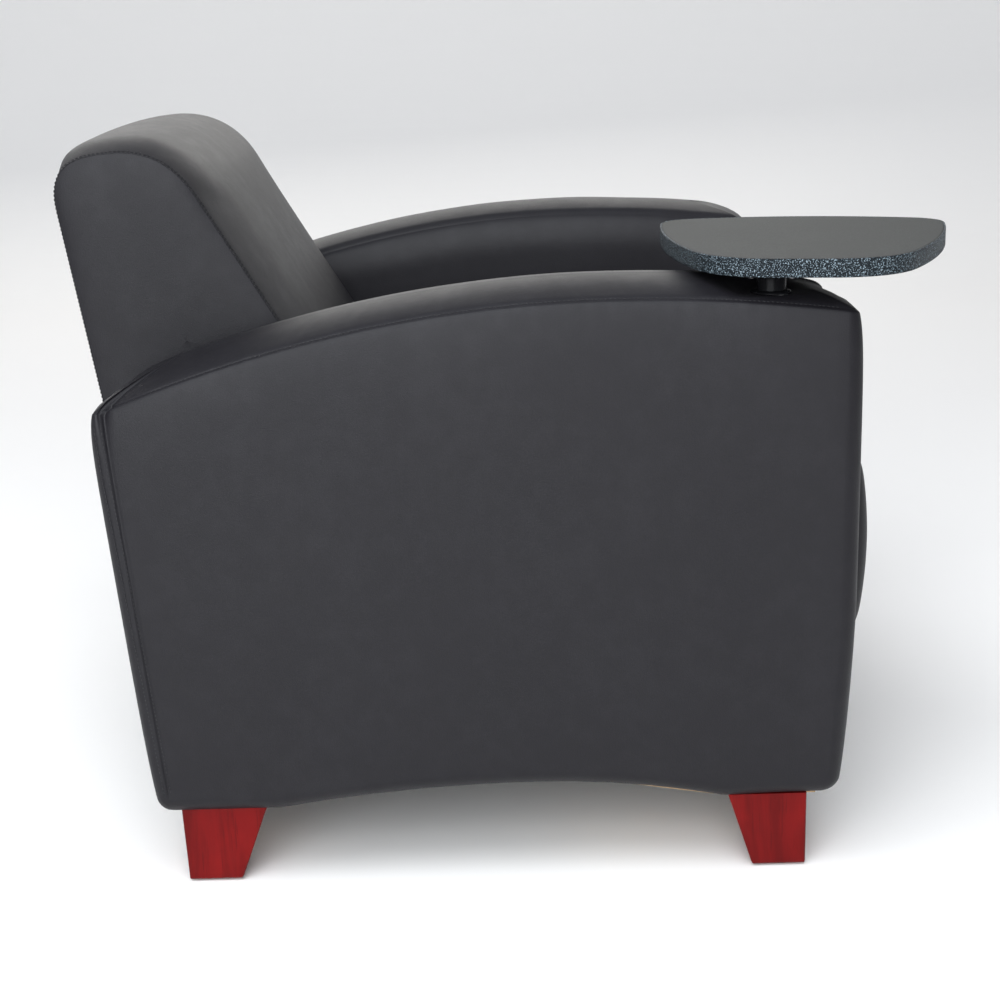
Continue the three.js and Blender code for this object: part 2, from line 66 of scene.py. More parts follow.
FRONT_FOOT_INSET = 0.046
ORIGIN = np.array([
    (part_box("right_arm_cover")[0].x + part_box("left_arm_cover")[1].x) / 2,
    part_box("right_front_foot")[0].y - FRONT_FOOT_INSET,
    0.0,
])
SIDES = (("right", -1), ("left", 1))


# ---- Settings a user would change -------------------------------------------------------------------


def length(name, description, default, low=0.0, high=2.0):
    kind = {"min": low, "max": high, "unit": "LENGTH", "precision": 4}
    return FloatProperty(name=name, description=description, default=default, **kind)


def colour(name, description, default):
    kind = {"size": 3, "min": 0.0, "max": 1.0, "subtype": "COLOR"}
    return FloatVectorProperty(name=name, description=description, default=default, **kind)


def power(name, description, default):
    return FloatProperty(name=name, description=description, default=default, min=0.0, unit="POWER")


def angle(name, description, default):
    return FloatProperty(name=name, description=description, default=default, subtype="ANGLE")


class LeatherSettings(bpy.types.PropertyGroup):
    """Faux leather of the covers."""

    tone: colour("Leather colour", "Colour of the faux leather", (0.0095, 0.0088, 0.0112))
    worn: colour("Worn colour", "Colour where the leather is rubbed", (0.0145, 0.0138, 0.0168))
    thread: colour("Thread colour", "Colour of the stitching", (0.004, 0.004, 0.005))
    roughness: FloatProperty(
        name="Leather roughness", description="Roughness of the leather's surface", default=0.44, min=0.0,
        max=1.0, subtype="FACTOR",
    )
    grain: length("Grain size", "Size of one pebble of the grain", 0.0009, 0.0002, 0.01)
    stitch_pitch: length("Stitch pitch", "Distance from one stitch to the next", 0.0046, 0.002, 0.02)
    stitch_length: length("Stitch length", "Visible length of a stitch", 0.0033, 0.001, 0.02)
    stitch_width: length("Thread width", "Thickness of the thread", 0.0009, 0.0003, 0.004)


class ArmSettings(bpy.types.PropertyGroup):
    """Shape of the padded arms."""

    half_width: length("Half width", "Half the width of an arm", 0.085)
    middle: length("Arm middle", "Distance of an arm's middle from the middle of the chair", 0.370)
    front_round: length("Front round", "Radius of the front corners seen from above", 0.020)
    rear_round: length("Rear round", "Radius of the rear corners seen from above", 0.013)
    seam_inset: length("Seam inset", "How far the cap's seam is pulled in from the side", 0.0085)
    rear_seam: length("Rear seam", "Distance of the stitched rear seam from the back of the arm", 0.0165)
    roll: length("Cap roll", "How far the cap's edge rises over its seam", 0.0040)
    roll_run: length("Cap roll run", "Width of the cap's rounded edge", 0.009)
    dome: length("Cap dome", "Rise of the cap between its rounded edges", 0.0120)
    inner_round: length("Inner round", "Width of the soft round between the cap and the inner side", 0.027)
    inner_fall: length("Inner fall", "How far below the seam's height the inner round starts", 0.045)
    low_round: length("Lower edge round", "Radius of the lower edge", 0.020)


class CushionSettings(bpy.types.PropertyGroup):
    """Padding of the seat and the back."""

    back_half: length("Back half width", "Half the width of the back", 0.281)
    seat_half: length("Seat half width", "Half the width of the seat cushion", 0.279)
    back_roll: length("Back roll", "How far the back's band rises over its side seams", 0.0125)
    back_roll_run: length("Back roll run", "Width of the rounded edge of the back's band", 0.075)
    back_lean: length("Back lean", "How far the back's sides lean in at the top", 0.010)
    back_dome: length("Back dome", "Rise of the back between its rounded edges", 0.0040)
    pressure: FloatProperty(
        name="Filling pressure", description="Pressure that swells the cushions", default=3.0, min=0.0,
        max=20.0,
    )
    back_swell: length("Back swell", "Most that the filling may move the back's cover", 0.003)
    seat_swell: length("Seat swell", "Most that the filling may move the cushion's cover", 0.010)
    settle_frames: IntProperty(
        name="Settling steps", description="Steps of the cloth", default=20, min=1, max=60
    )


class WoodSettings(bpy.types.PropertyGroup):
    """Stained feet."""

    stain: colour("Stain", "Main colour of the stained feet", (0.150, 0.0036, 0.0036))
    deep: colour("Deep stain", "Colour of the dark grain lines", (0.098, 0.0022, 0.0022))
    edge: length("Edge round", "Rounded edge of the feet", 0.0022)


class TabletSettings(bpy.types.PropertyGroup):
    """Writing tablet."""

    top_tone: colour("Top colour", "Colour of the laminate", (0.0255, 0.0268, 0.0255))
    band_tone: colour("Band colour", "Ground colour of the edge band", (0.0045, 0.006, 0.008))
    # Colour of painted highlights: the band's pale flecks stand for glints of light on its pebbled face.
    glint_fleck: colour("Fleck colour", "Colour of the band's flecks", (0.30, 0.38, 0.43))
    edge: length("Edge round", "Rounded upper edge of the tablet", 0.0016)


class StudioSettings(bpy.types.PropertyGroup):
    """Camera, lights and floor."""

    lens: FloatProperty(
        name="Lens", description="Focal length", default=0.06491, min=0.01, max=0.3, unit="CAMERA", precision=5
    )
    camera: FloatVectorProperty(
        name="Camera place", description="Place of the camera", default=(-2.208, 0.380241, 0.905), size=3,
        subtype="TRANSLATION",
    )
    yaw: angle("Yaw", "Turn about the vertical", -0.00802851)
    pitch: angle("Pitch", "Downward tilt", 0.268955)
    roll: angle("Roll", "Turn about the view", -0.0239110)
    sky: FloatProperty(name="Sky", description="Strength of the even light", default=0.9, min=0.0, max=10.0)
    beyond: power("Rim light", "Power of the light behind", 34.0)
    above: power("Upper light", "Power of the upper light", 100.0)
    near: power("Near light", "Power of the light by the camera", 165.0)
    floor_tone: colour("Floor colour", "Colour of the floor", (0.97, 0.955, 0.93))


# ---- Materials --------------------------------------------------------------------------------------

# Numbers of a Mix node's sockets when it mixes colours.
MIX_FACTOR, MIX_FIRST, MIX_SECOND, MIX_COLOUR = 0, 6, 7, 2


class Level:
    """A number that changes over a surface: a socket whose operators add Math nodes."""

    def __init__(self, finish, socket):
        self.finish = finish
        self.socket = socket

    def maths(self, operation, *values):
        return self.finish.node("ShaderNodeMath", {"operation": operation}, dict(enumerate(values))).level()

    def __add__(self, other):
        return self.maths("ADD", self, other)

    def __sub__(self, other):
        return self.maths("SUBTRACT", self, other)

    def __rsub__(self, other):
        return self.maths("SUBTRACT", other, self)

    def __mul__(self, other):
        return self.maths("MULTIPLY", self, other)

    __radd__ = __add__
    __rmul__ = __mul__

    def between(self, low, high):
        """0 below low, 1 above high and smooth between."""
        settings = {"interpolation_type": "SMOOTHSTEP"}
        return self.finish.node("ShaderNodeMapRange", settings, {0: self, 1: low, 2: high}).level()


class Placed:
    """A node just added, whose outputs are taken by name or number."""

    def __init__(self, finish, node):
        self.finish = finish
        self.node = node

    def level(self, output=0):
        return Level(self.finish, self.node.outputs[output])

    def out(self, output=0):
        return self.node.outputs[output]


class Finish:
    """A procedural material that is built up node by node."""

    def __init__(self, name):
        self.material = bpy.data.materials.new(name)
        self.material.use_nodes = True
        self.tree = self.material.node_tree
        self.tree.nodes.clear()
        self.shader = self.node("ShaderNodeBsdfPrincipled")
        self.node("ShaderNodeOutputMaterial", inputs={0: self.shader.out()})
        self.place = self.node("ShaderNodeTexCoord").out("Object")

    def node(self, kind, settings=None, inputs=None):
        made = self.tree.nodes.new(kind)
        for key, value in (settings or {}).items():
            if key == "stops":
                self.stops(made.color_ramp, value)
            else:
                setattr(made, key, value)
        for key, value in (inputs or {}).items():
            self.feed(made.inputs[key], value)
        return Placed(self, made)

    def feed(self, socket, value):
        """Links a socket to a level or another socket, or sets it to a constant."""
        if isinstance(value, Level):
            value = value.socket
        if isinstance(value, bpy.types.NodeSocket):
            self.tree.links.new(value, socket)
        else:
            socket.default_value = value

    @staticmethod
    def stops(ramp, wanted):
        while len(ramp.elements) < len(wanted):
            ramp.elements.new(0.5)
        for element, (at, tone) in zip(ramp.elements, wanted):
            element.position = at
            element.color = (*tone, 1.0)

    def stretched(self, x=1.0, y=1.0, z=1.0):
        """The place on the surface, stretched along the axes."""
        inputs = {0: self.place, 1: (x, y, z)}
        return self.node("ShaderNodeVectorMath", {"operation": "MULTIPLY"}, inputs).out()

    def noise(self, scale, detail=2.0, rough=0.5, at=None, distortion=0.0):
        inputs = {"Vector": at or self.place, "Scale": scale, "Detail": detail, "Roughness": rough}
        return self.node("ShaderNodeTexNoise", None, {**inputs, "Distortion": distortion}).level()

    def cells(self, scale, feature="F1", at=None):
        inputs = {"Vector": at or self.place, "Scale": scale}
        return self.node("ShaderNodeTexVoronoi", {"feature": feature}, inputs).level()

    def mix(self, amount, first, second):
        """The first colour where amount is 0, and the second where it is 1."""
        inputs = {MIX_FACTOR: amount}
        for slot, value in ((MIX_FIRST, first), (MIX_SECOND, second)):
            inputs[slot] = value if isinstance(value, bpy.types.NodeSocket) else (*value, 1.0)
        return self.node("ShaderNodeMix", {"data_type": "RGBA"}, inputs).out(MIX_COLOUR)

    def bump(self, height, distance, strength=1.0, under=None):
        inputs = {"Height": height, "Distance": distance, "Strength": strength}
        if under is not None:
            inputs["Normal"] = under
        return self.node("ShaderNodeBump", None, inputs).out()

    def surface(self, **sockets):
        """Sets the shader's sockets; a name's underscores stand for spaces."""
        for key, value in sockets.items():
            self.feed(self.shader.node.inputs[key.replace("_", " ")], value)
        return self.material


def shaded(tone, factor):
    """A colour made lighter or darker."""
    return tuple(factor * value for value in tone)


def leather_finish(settings):
    """Fine pebbled faux leather, a little paler where it is rubbed, with painted shade in the creases of its
    grain.
    """
    finish = Finish("charcoal_leather")
    drift = finish.noise(7.0, 3.0)
    cloud = finish.noise(38.0, 4.0, 0.6)
    pebble_place = finish.node(
        "ShaderNodeVectorMath", {"operation": "MULTIPLY_ADD"},
        {0: finish.node("ShaderNodeTexNoise", None, {"Vector": finish.place, "Scale": 260.0}).out("Color"),
         1: (0.0011,) * 3, 2: finish.place},
    ).out()
    pebble = finish.cells(1.0 / settings.grain, "SMOOTH_F1", pebble_place)
    crease = finish.cells(0.33 / settings.grain, "DISTANCE_TO_EDGE", pebble_place)
    rubbed = (cloud * 0.6 + drift * 0.4).between(0.42, 0.66)
    valley = crease.between(0.0, 0.16)
    tone = finish.mix(rubbed * 0.45, settings.tone, settings.worn)
    # Painted shade: the tone is darkened in the creases between the pebbles of the grain.
    tone = finish.mix((1 - valley) * 0.35, tone, (0.006, 0.006, 0.007))
    coarse = finish.bump(finish.noise(24.0, 3.0, 0.55), 0.0009, 0.35)
    folded = finish.bump(valley, 0.00012, 0.30, coarse)
    return finish.surface(
        Base_Color=tone,
        Roughness=rubbed * -0.035 + pebble * 0.10 + settings.roughness,
        Specular_IOR_Level=0.24,
        Normal=finish.bump(pebble, 0.00022, 0.42, folded),
    )


def thread_finish(settings):
    """Twisted polyester thread."""
    finish = Finish("seam_thread")
    ply = finish.noise(2400.0, 2.0)
    return finish.surface(
        Base_Color=finish.mix(ply, settings.thread, shaded(settings.thread, 2.2)),
        Roughness=ply * 0.2 + 0.45,
        Normal=finish.bump(ply, 0.0002, 0.5),
    )


def stained_wood_finish(settings):
    """Red mahogany stain under a satin lacquer, with the grain running down the foot."""
    finish = Finish("red_mahogany")
    along = finish.stretched(1.0, 1.0, 0.11)
    figure = finish.noise(46.0, 5.0, 0.62, along, 0.6)
    pores = finish.noise(420.0, 2.0, 0.5, finish.stretched(1.0, 1.0, 0.05))
    blotch = finish.noise(16.0, 3.0)
    tone = finish.mix(figure.between(0.36, 0.66), settings.deep, settings.stain)
    tone = finish.mix(blotch.between(0.45, 0.75) * 0.35, tone, (0.24, 0.008, 0.007))
    tone = finish.mix(pores.between(0.60, 0.72) * 0.55, tone, (0.07, 0.002, 0.002))
    return finish.surface(
        Base_Color=tone,
        Roughness=figure * 0.10 + 0.40,
        Specular_IOR_Level=0.10,
        Coat_Weight=0.05,
        Coat_Roughness=0.25,
        Normal=finish.bump(pores, 0.00012, 0.35),
    )


def raw_wood_finish(name, pale, dark, along):
    """Unfinished wood of the hidden frame."""
    finish = Finish(name)
    grain = finish.noise(60.0, 5.0, 0.6, finish.stretched(*along), 0.5)
    fibre = finish.noise(540.0, 2.0, 0.5, finish.stretched(*along))
    tone = finish.mix(grain.between(0.35, 0.65), dark, pale)
    return finish.surface(
        Base_Color=finish.mix(fibre.between(0.5, 0.8) * 0.4, tone, dark),
        Roughness=fibre * 0.15 + 0.68,
        Normal=finish.bump(fibre, 0.0004, 0.4),
    )


def laminate_finish(settings):
    """Fine textured grey laminate."""
    finish = Finish("grey_laminate")
    peel = finish.noise(520.0, 3.0, 0.6)
    speck = finish.noise(1500.0, 2.0)
    cloud = finish.noise(11.0, 3.0)
    tone = finish.mix(speck.between(0.42, 0.66), settings.top_tone, shaded(settings.top_tone, 2.2))
    tone = finish.mix(cloud.between(0.35, 0.7) * 0.25, tone, (0.022, 0.023, 0.022))
    return finish.surface(
        Base_Color=tone,
        Roughness=peel * 0.14 + 0.56,
        Specular_IOR_Level=0.25,
        Normal=finish.bump(peel, 0.0002, 0.4),
    )


def band_finish(settings):
    """Black edge band with a pebbled face, and pale flecks of painted glint in its colour."""
    finish = Finish("painted_glint_band")
    glint_fleck = finish.noise(760.0, 1.5, 0.7)
    fine = finish.noise(1500.0, 1.0)
    cells = finish.cells(620.0)
    glint_mask = glint_fleck.between(0.55, 0.64)
    tone = finish.mix(fine.between(0.45, 0.75), settings.band_tone, (0.02, 0.032, 0.04))
    return finish.surface(
        # Painted highlight: the pale flecks in the base colour stand for glints of light on the pebbled face.
        Base_Color=finish.mix(glint_mask * 0.75, tone, settings.glint_fleck),
        Roughness=0.46 - glint_mask * 0.10,
        Specular_IOR_Level=0.12,
        Normal=finish.bump(cells, 0.0012, 0.9),
    )


def metal_finish(name, tone, roughness, metallic=1.0, gloss=0.5):
    """Metal with fine tool marks, or black gloss enamel."""
    finish = Finish(name)
    marks = finish.noise(900.0, 3.0, 0.6)
    smudge = finish.noise(60.0, 3.0)
    return finish.surface(
        Base_Color=finish.mix(smudge * 0.3, tone, shaded(tone, 0.6)),
        Metallic=metallic,
        Roughness=marks * 0.12 + smudge * 0.06 + roughness,
        Specular_IOR_Level=gloss,
        Normal=finish.bump(marks, 0.00005, 0.3),
    )


def nylon_finish():
    """Satin moulded nylon."""
    finish = Finish("black_nylon")
    frost = finish.noise(1300.0, 2.0)
    return finish.surface(
        Base_Color=finish.mix(frost, (0.014, 0.014, 0.015), (0.03, 0.03, 0.032)),
        Roughness=frost * 0.2 + 0.4,
        Normal=finish.bump(frost, 0.00015, 0.3),
    )


def fibre_finish():
    """Black non-woven cloth, pressed into small squares."""
    finish = Finish("non_woven_cloth")
    fibres = finish.noise(900.0, 4.0, 0.7)
    points = finish.cells(420.0, at=finish.stretched(1.0, 1.0, 0.0))
    spot = 1 - points.between(0.1, 0.45)
    return finish.surface(
        Base_Color=finish.mix(fibres, (0.01, 0.01, 0.011), (0.032, 0.032, 0.034)),
        Roughness=fibres * 0.15 + 0.8,
        Normal=finish.bump(spot * -1.0 + fibres * 0.4, 0.0003, 0.6),
    )


def foam_finish():
    """Cut foam with open cells."""
    finish = Finish("cut_foam")
    cells = finish.cells(900.0)
    cloud = finish.noise(20.0, 3.0)
    return finish.surface(
        Base_Color=finish.mix(cloud, (0.72, 0.64, 0.36), (0.80, 0.74, 0.50)),
        Roughness=cells * 0.1 + 0.85,
        Normal=finish.bump(cells, 0.001, 0.7),
    )


def webbing_finish():
    """Elastic band with lengthwise ribs and a stripe."""
    finish = Finish("elastic_webbing")
    ribs = finish.noise(300.0, 1.0, 0.5, finish.stretched(0.02, 1.0, 1.6))
    knit = finish.noise(1100.0, 2.0)
    return finish.surface(
        Base_Color=finish.mix(ribs.between(0.4, 0.6), (0.02, 0.019, 0.018), (0.055, 0.05, 0.045)),
        Roughness=knit * 0.15 + 0.8,
        Normal=finish.bump(ribs + knit * 0.4, 0.0006, 0.6),
    )


def floor_finish(settings):
    """Plain pale floor."""
    finish = Finish("pale_floor")
    cloud = finish.noise(3.0, 3.0)
    return finish.surface(
        Base_Color=finish.mix(cloud * 0.5, settings.floor_tone, shaded(settings.floor_tone, 0.985)),
        Roughness=cloud * 0.1 + 0.8,
        Specular_IOR_Level=0.2,
    )


FINISHES = {}


def finish_for(name):
    """Each material once, whichever piece asks for it first."""
    scene = bpy.context.scene
    makers = {
        "leather": (leather_finish, scene.chair_leather),
        "thread": (thread_finish, scene.chair_leather),
        "mahogany": (stained_wood_finish, scene.chair_wood),
        "plywood": (raw_wood_finish, "raw_plywood", (0.62, 0.45, 0.27), (0.42, 0.28, 0.15), (1.0, 0.15, 1.0)),
        "hardwood": (raw_wood_finish, "raw_hardwood", (0.55, 0.38, 0.21), (0.36, 0.23, 0.12), (0.2, 0.6, 0.6)),
        "laminate": (laminate_finish, scene.chair_tablet),
        # The speckled band's flecks are painted glints of light, not specks in the material.
        "speckled_band": (band_finish, scene.chair_tablet),
        "black_steel": (metal_finish, "gloss_black_steel", (0.006, 0.006, 0.007), 0.16, 0.0, 0.06),
        "zinc_steel": (metal_finish, "zinc_plate", (0.55, 0.56, 0.57), 0.22),
        "spring_steel": (metal_finish, "spring_wire", (0.14, 0.14, 0.15), 0.3),
        "nylon": (nylon_finish,),
        "dust_fabric": (fibre_finish,),
        "foam": (foam_finish,),
        "webbing": (webbing_finish,),
        "floor": (floor_finish, scene.chair_studio),
    }
    if name not in FINISHES:
        make, *details = makers[name]
        FINISHES[name] = make(*details)
    return FINISHES[name]


# ---- Mesh helpers -----------------------------------------------------------------------------------


def smooth_step(value):
    value = np.clip(value, 0.0, 1.0)
    return value * value * (3 - 2 * value)


def rolled(value):
    """A quarter round: rises at once from 0 and levels out at 1."""
    return np.sqrt(1 - (1 - np.clip(value, 0.0, 1.0)) ** 2)


RIPPLE_WAVES = 6


def ripple(along, across, size, seed):
    """Soft irregular unevenness of about the given size, from -1 to 1."""
    rng = np.random.default_rng(seed)
    total = 0.0
    for _ in range(RIPPLE_WAVES):
        heading, phase = rng.uniform(0, 2 * math.pi, 2)
        pace = 2 * math.pi * rng.uniform(0.7, 1.5) / size
        total = total + np.sin(pace * (along * math.cos(heading) + across * math.sin(heading)) + phase)
    return total / RIPPLE_WAVES


def make_mesh(name, points, faces, smooth=True):
    """A closed mesh in the frame of the chair, its faces turned outwards."""
    mesh = bpy.data.meshes.new(name)
    mesh.from_pydata([tuple(p) for p in np.asarray(points, float) + ORIGIN], [], faces)
    shape = bmesh.new()
    shape.from_mesh(mesh)
    bmesh.ops.recalc_face_normals(shape, faces=shape.faces)
    shape.to_mesh(mesh)
    shape.free()
    mesh.shade_smooth() if smooth else mesh.shade_flat()
    made = bpy.data.objects.new(name, mesh)
    bpy.context.scene.collection.objects.link(made)
    return made


def set_down(made, finish, body, nodes=()):
    """Gives a piece its material, its body, its slot and the nodes that it stands for."""
    made.data.materials.clear()
    made.data.materials.append(finish_for(finish))
    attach(made, body)
    if nodes:
        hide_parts(*nodes)


def zipped(loop):
    """Faces that close a loop whose second half mirrors the first."""
    count = len(loop)
    faces = []
    for i in range(count // 2):
        ids = [loop[i], loop[i + 1], loop[(count - i - 1) % count], loop[(count - i) % count]]
        faces.append(tuple(dict.fromkeys(ids)))
    return faces


def fan(first, count, middle):
    """Triangles from a loop of numbered points to its middle."""
    return [(first + i, first + (i + 1) % count, middle) for i in range(count)]


def stacked(rings):
    """Points and faces of rings joined one to the next, with both ends left open."""
    count = len(rings[0])
    faces = []
    for k in range(len(rings) - 1):
        a, b = k * count, (k + 1) * count
        for i in range(count):
            j = (i + 1) % count
            faces.append((a + i, a + j, b + j, b + i))
    return np.vstack(rings), faces


def capped(rings, first=None, last=None):
    """Points and faces of joined rings, closed by a middle point at either end."""
    points, faces = stacked(rings)
    count, total = len(rings[0]), len(points)
    first = rings[0].mean(0) if first is None else first
    last = rings[-1].mean(0) if last is None else last
    faces += fan(0, count, total) + fan(total - count, count, total + 1)
    return np.vstack([points, [first], [last]]), faces


def looped(rings):
    """Points and faces of rings joined one to the next, and the last to the first."""
    points, faces = stacked([*rings, rings[0]])
    count = len(points) - len(rings[0])
    return points[:count], [tuple(i % count for i in face) for face in faces]


def circle(centre, radius, height, sides):
    """A level circle; its height may change from point to point."""
    turn = np.arange(sides) / sides * 2 * math.pi
    x, y = centre[0] + radius * np.cos(turn), centre[1] + radius * np.sin(turn)
    return np.column_stack([x, y, np.broadcast_to(height, sides)])


def raised(flat, height):
    """Plan points set at a height."""
    return np.column_stack([flat, np.full(len(flat), height)])


def box_centre(name):
    """Middle of a node seen from above."""
    low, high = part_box(name)
    return (low.x + high.x) / 2 - ORIGIN[0], (low.y + high.y) / 2 - ORIGIN[1]


def apply_modifiers(made):
    """The piece keeps the shape that its modifiers give it."""
    graph = bpy.context.evaluated_depsgraph_get()
    mesh = bpy.data.meshes.new_from_object(made.evaluated_get(graph), depsgraph=graph)
    made.modifiers.clear()
    made.data = mesh


def toward(here, there, distance):
    """The point at a distance from here on the way to there."""
    return here + (there - here) / np.linalg.norm(there - here) * distance


def bend(start, corner, end, count=13):
    """A curve that leaves start towards the corner and arrives at end from it."""
    return [(1 - t) ** 2 * start + 2 * t * (1 - t) * corner + t * t * end for t in np.linspace(0, 1, count)]


def rounded_outline(corners, spacing):
    """Closed outline through corners (y, z, round) with curved corners, at an even spacing."""
    line = []
    spots = [np.array(corner[:2], float) for corner in corners]
    for i, (_, _, size) in enumerate(corners):
        here, before, after = spots[i], spots[i - 1], spots[(i + 1) % len(spots)]
        line += bend(toward(here, before, size), here, toward(here, after, size))
    return resampled(np.array(line), spacing, True)


def run_along(line):
    """How far along a line each of its points lies."""
    return np.concatenate([[0], np.cumsum(np.linalg.norm(np.diff(line, axis=0), axis=1))])


def points_at(line, run, at):
    """Points of a line at the given distances along it."""
    return np.column_stack([np.interp(at, run, line[:, k]) for k in range(line.shape[1])])


def unit(vectors):
    return vectors / np.linalg.norm(vectors, axis=1)[:, None]


def resampled(line, spacing, closed=False):
    """Points at an even spacing along a line."""
    if closed:
        line = np.vstack([line, line[:1]])
    steps = np.linalg.norm(np.diff(line, axis=0), axis=1)
    keep = np.concatenate([[True], steps > 1e-9])
    line = line[keep]
    run = run_along(line)
    count = max(2, int(round(run[-1] / spacing)))
    at = np.linspace(0, run[-1], count + (0 if closed else 1), endpoint=not closed)
    return points_at(line, run, at)


def outward_2d(line):
    """Unit normals of a closed counter-clockwise outline."""
    along = np.roll(line, -1, 0) - np.roll(line, 1, 0)
    return unit(np.column_stack([along[:, 1], -along[:, 0]]))


STITCH_RINGS = (-1.0, -0.82, -0.35, 0.35, 0.82, 1.0)
STITCH_SIDES = 6
STITCH_DIP = 0.0004
STITCH_FLAT = 0.8


def sew(name, line, normals, settings, lift=0.0, slant=0.0):
    """Sews a row of separate stitches along a line on the leather."""
    run = run_along(line)
    count = int(run[-1] / settings.stitch_pitch)
    at = (np.arange(count) + 0.5) * settings.stitch_pitch
    middle = points_at(line, run, at)
    along = unit(points_at(line, run, at + 0.001) - points_at(line, run, at - 0.001))
    up = points_at(normals, run, at)
    up = unit(up - along * np.sum(up * along, axis=1)[:, None])
    along = along * math.cos(slant) + np.cross(along, up) * math.sin(slant)
    beside = np.cross(along, up)
    points, faces = [], []
    turns = np.arange(STITCH_SIDES) / STITCH_SIDES * 2 * math.pi
    size = len(STITCH_RINGS) * STITCH_SIDES
    for n in range(count):
        base = len(points)
        for u in STITCH_RINGS:
            thick = settings.stitch_width / 2 * max(0.12, math.sqrt(1 - abs(u) ** 3))
            core = middle[n] + along[n] * u * settings.stitch_length / 2 + up[n] * (lift - STITCH_DIP * u * u)
            for turn in turns:
                flat = up[n] * math.sin(turn) * thick * STITCH_FLAT
                points.append(core + beside[n] * math.cos(turn) * thick + flat)
        for a in range(base, base + size - STITCH_SIDES, STITCH_SIDES):
            for i in range(STITCH_SIDES):
                j = (i + 1) % STITCH_SIDES
                faces.append((a + i, a + j, a + STITCH_SIDES + j, a + STITCH_SIDES + i))
        faces.append(tuple(range(base, base + STITCH_SIDES)))
        faces.append(tuple(range(base + size - STITCH_SIDES, base + size)))
    set_down(make_mesh(name, points, faces), "thread", "chair")


def turned_piece(name, profile, centre, sides):
    """A closed turned piece about a vertical axis, from its radius and height pairs, axis to axis."""
    rings = [circle(centre, radius, height, sides) for radius, height in profile]
    return make_mesh(name, *capped(rings))


def ring_piece(name, profile, centre, sides):
    """A closed ring about a vertical axis, from the closed outline of its section."""
    return make_mesh(name, *looped([circle(centre, radius, height, sides) for radius, height in profile]))


def places(made):
    return np.array([vertex.co for vertex in made.data.vertices])


def put_at(made, spots):
    made.data.vertices.foreach_set("co", spots.ravel())
    made.data.update()


def seam_edges(rings, count):
    """Pairs of neighbouring points all round the numbered rings."""
    return [(k * count + i, k * count + (i + 1) % count) for k in rings for i in range(count)]


def swell(made, hold, pressure, most, frames):
    """Lets a filling press a cover outwards from its held seams, and caps how far it may move."""
    scene = bpy.context.scene
    before = places(made)
    group = made.vertex_groups.new(name="held")
    for level in np.unique(np.round(hold, 2)):
        if level > 0:
            group.add([int(i) for i in np.flatnonzero(np.round(hold, 2) == level)], float(level), "REPLACE")
    cloth = made.modifiers.new("filling", "CLOTH")
    cloth.settings.quality = 6
    cloth.settings.mass = 0.35
    cloth.settings.tension_stiffness = 30
    cloth.settings.compression_stiffness = 20
    cloth.settings.shear_stiffness = 12
    cloth.settings.bending_stiffness = 4
    cloth.settings.use_pressure = True
    cloth.settings.uniform_pressure_force = pressure
    cloth.settings.vertex_group_mass = "held"
    cloth.settings.pin_stiffness = 3
    cloth.settings.effector_weights.gravity = 0.0
    cloth.collision_settings.use_collision = False
    cloth.point_cache.frame_start = 1
    cloth.point_cache.frame_end = frames
    for step in range(1, frames + 1):
        scene.frame_set(step)
    apply_modifiers(made)
    scene.frame_set(1)
    move = places(made) - before
    far = np.linalg.norm(move, axis=1)
    limit = most * np.tanh(far / most) / np.maximum(far, 1e-9) * (1 - hold)
    put_at(made, before + move * limit[:, None])
    made.vertex_groups.clear()


def refine(made, creased):
    """Subdivides a cover once, keeping its seams, the creased pairs of vertices, crisp."""
    mesh = made.data
    crease = mesh.attributes.new("crease_edge", "FLOAT", "EDGE")
    wanted = {frozenset(pair) for pair in creased}
    for edge in mesh.edges:
        if frozenset(edge.vertices) in wanted:
            crease.data[edge.index].value = 1.0
    modifier = made.modifiers.new("refine", "SUBSURF")
    modifier.levels = modifier.render_levels = 1
    apply_modifiers(made)
    made.data.shade_smooth()


# ---- Arms -------------------------------------------------------------------------------------------


# The cap's seam: where it is highest, how high, and its radius in front of that place and behind it.
CREST_AT, CREST_HEIGHT = 0.250, 0.621
CREST_FRONT_RADIUS, CREST_REAR_RADIUS = 1.785, 1.312
# The arch under an arm: its middle, its reach to the front and to the back, its rise and the edge's height.
ARCH_AT, ARCH_FRONT, ARCH_REAR = 0.335, 0.203, 0.275
ARCH_RISE, ARM_BOTTOM = 0.0214, 0.0824


def cap_seam(y):
    """Height of the seam between an arm's side and its cap."""
    radius = np.where(y < CREST_AT, CREST_FRONT_RADIUS, CREST_REAR_RADIUS)
    return CREST_HEIGHT - (y - CREST_AT) ** 2 / (2 * radius)


def arm_underside(y):
    """Height of an arm's lower edge, which arches up between the feet."""
    run = np.where(y < ARCH_AT, ARCH_FRONT, ARCH_REAR)
    arch = np.maximum(1 - ((y - ARCH_AT) / run) ** 2, 0.0)
    return ARM_BOTTOM + ARCH_RISE * arch + 0.0022 * smooth_step((0.16 - y) / 0.10)


def arm_front(z):
    """How far back an arm's front edge is at a height: it is tucked under towards the floor."""
    return -0.0005 + 0.0105 * np.clip((0.300 - z) / 0.215, 0.0, 1.0) ** 1.3


def arm_rear(z):
    """How far back an arm's leaning rear edge is at a height."""
    return 0.7422 + 0.0905 * (z - 0.134)


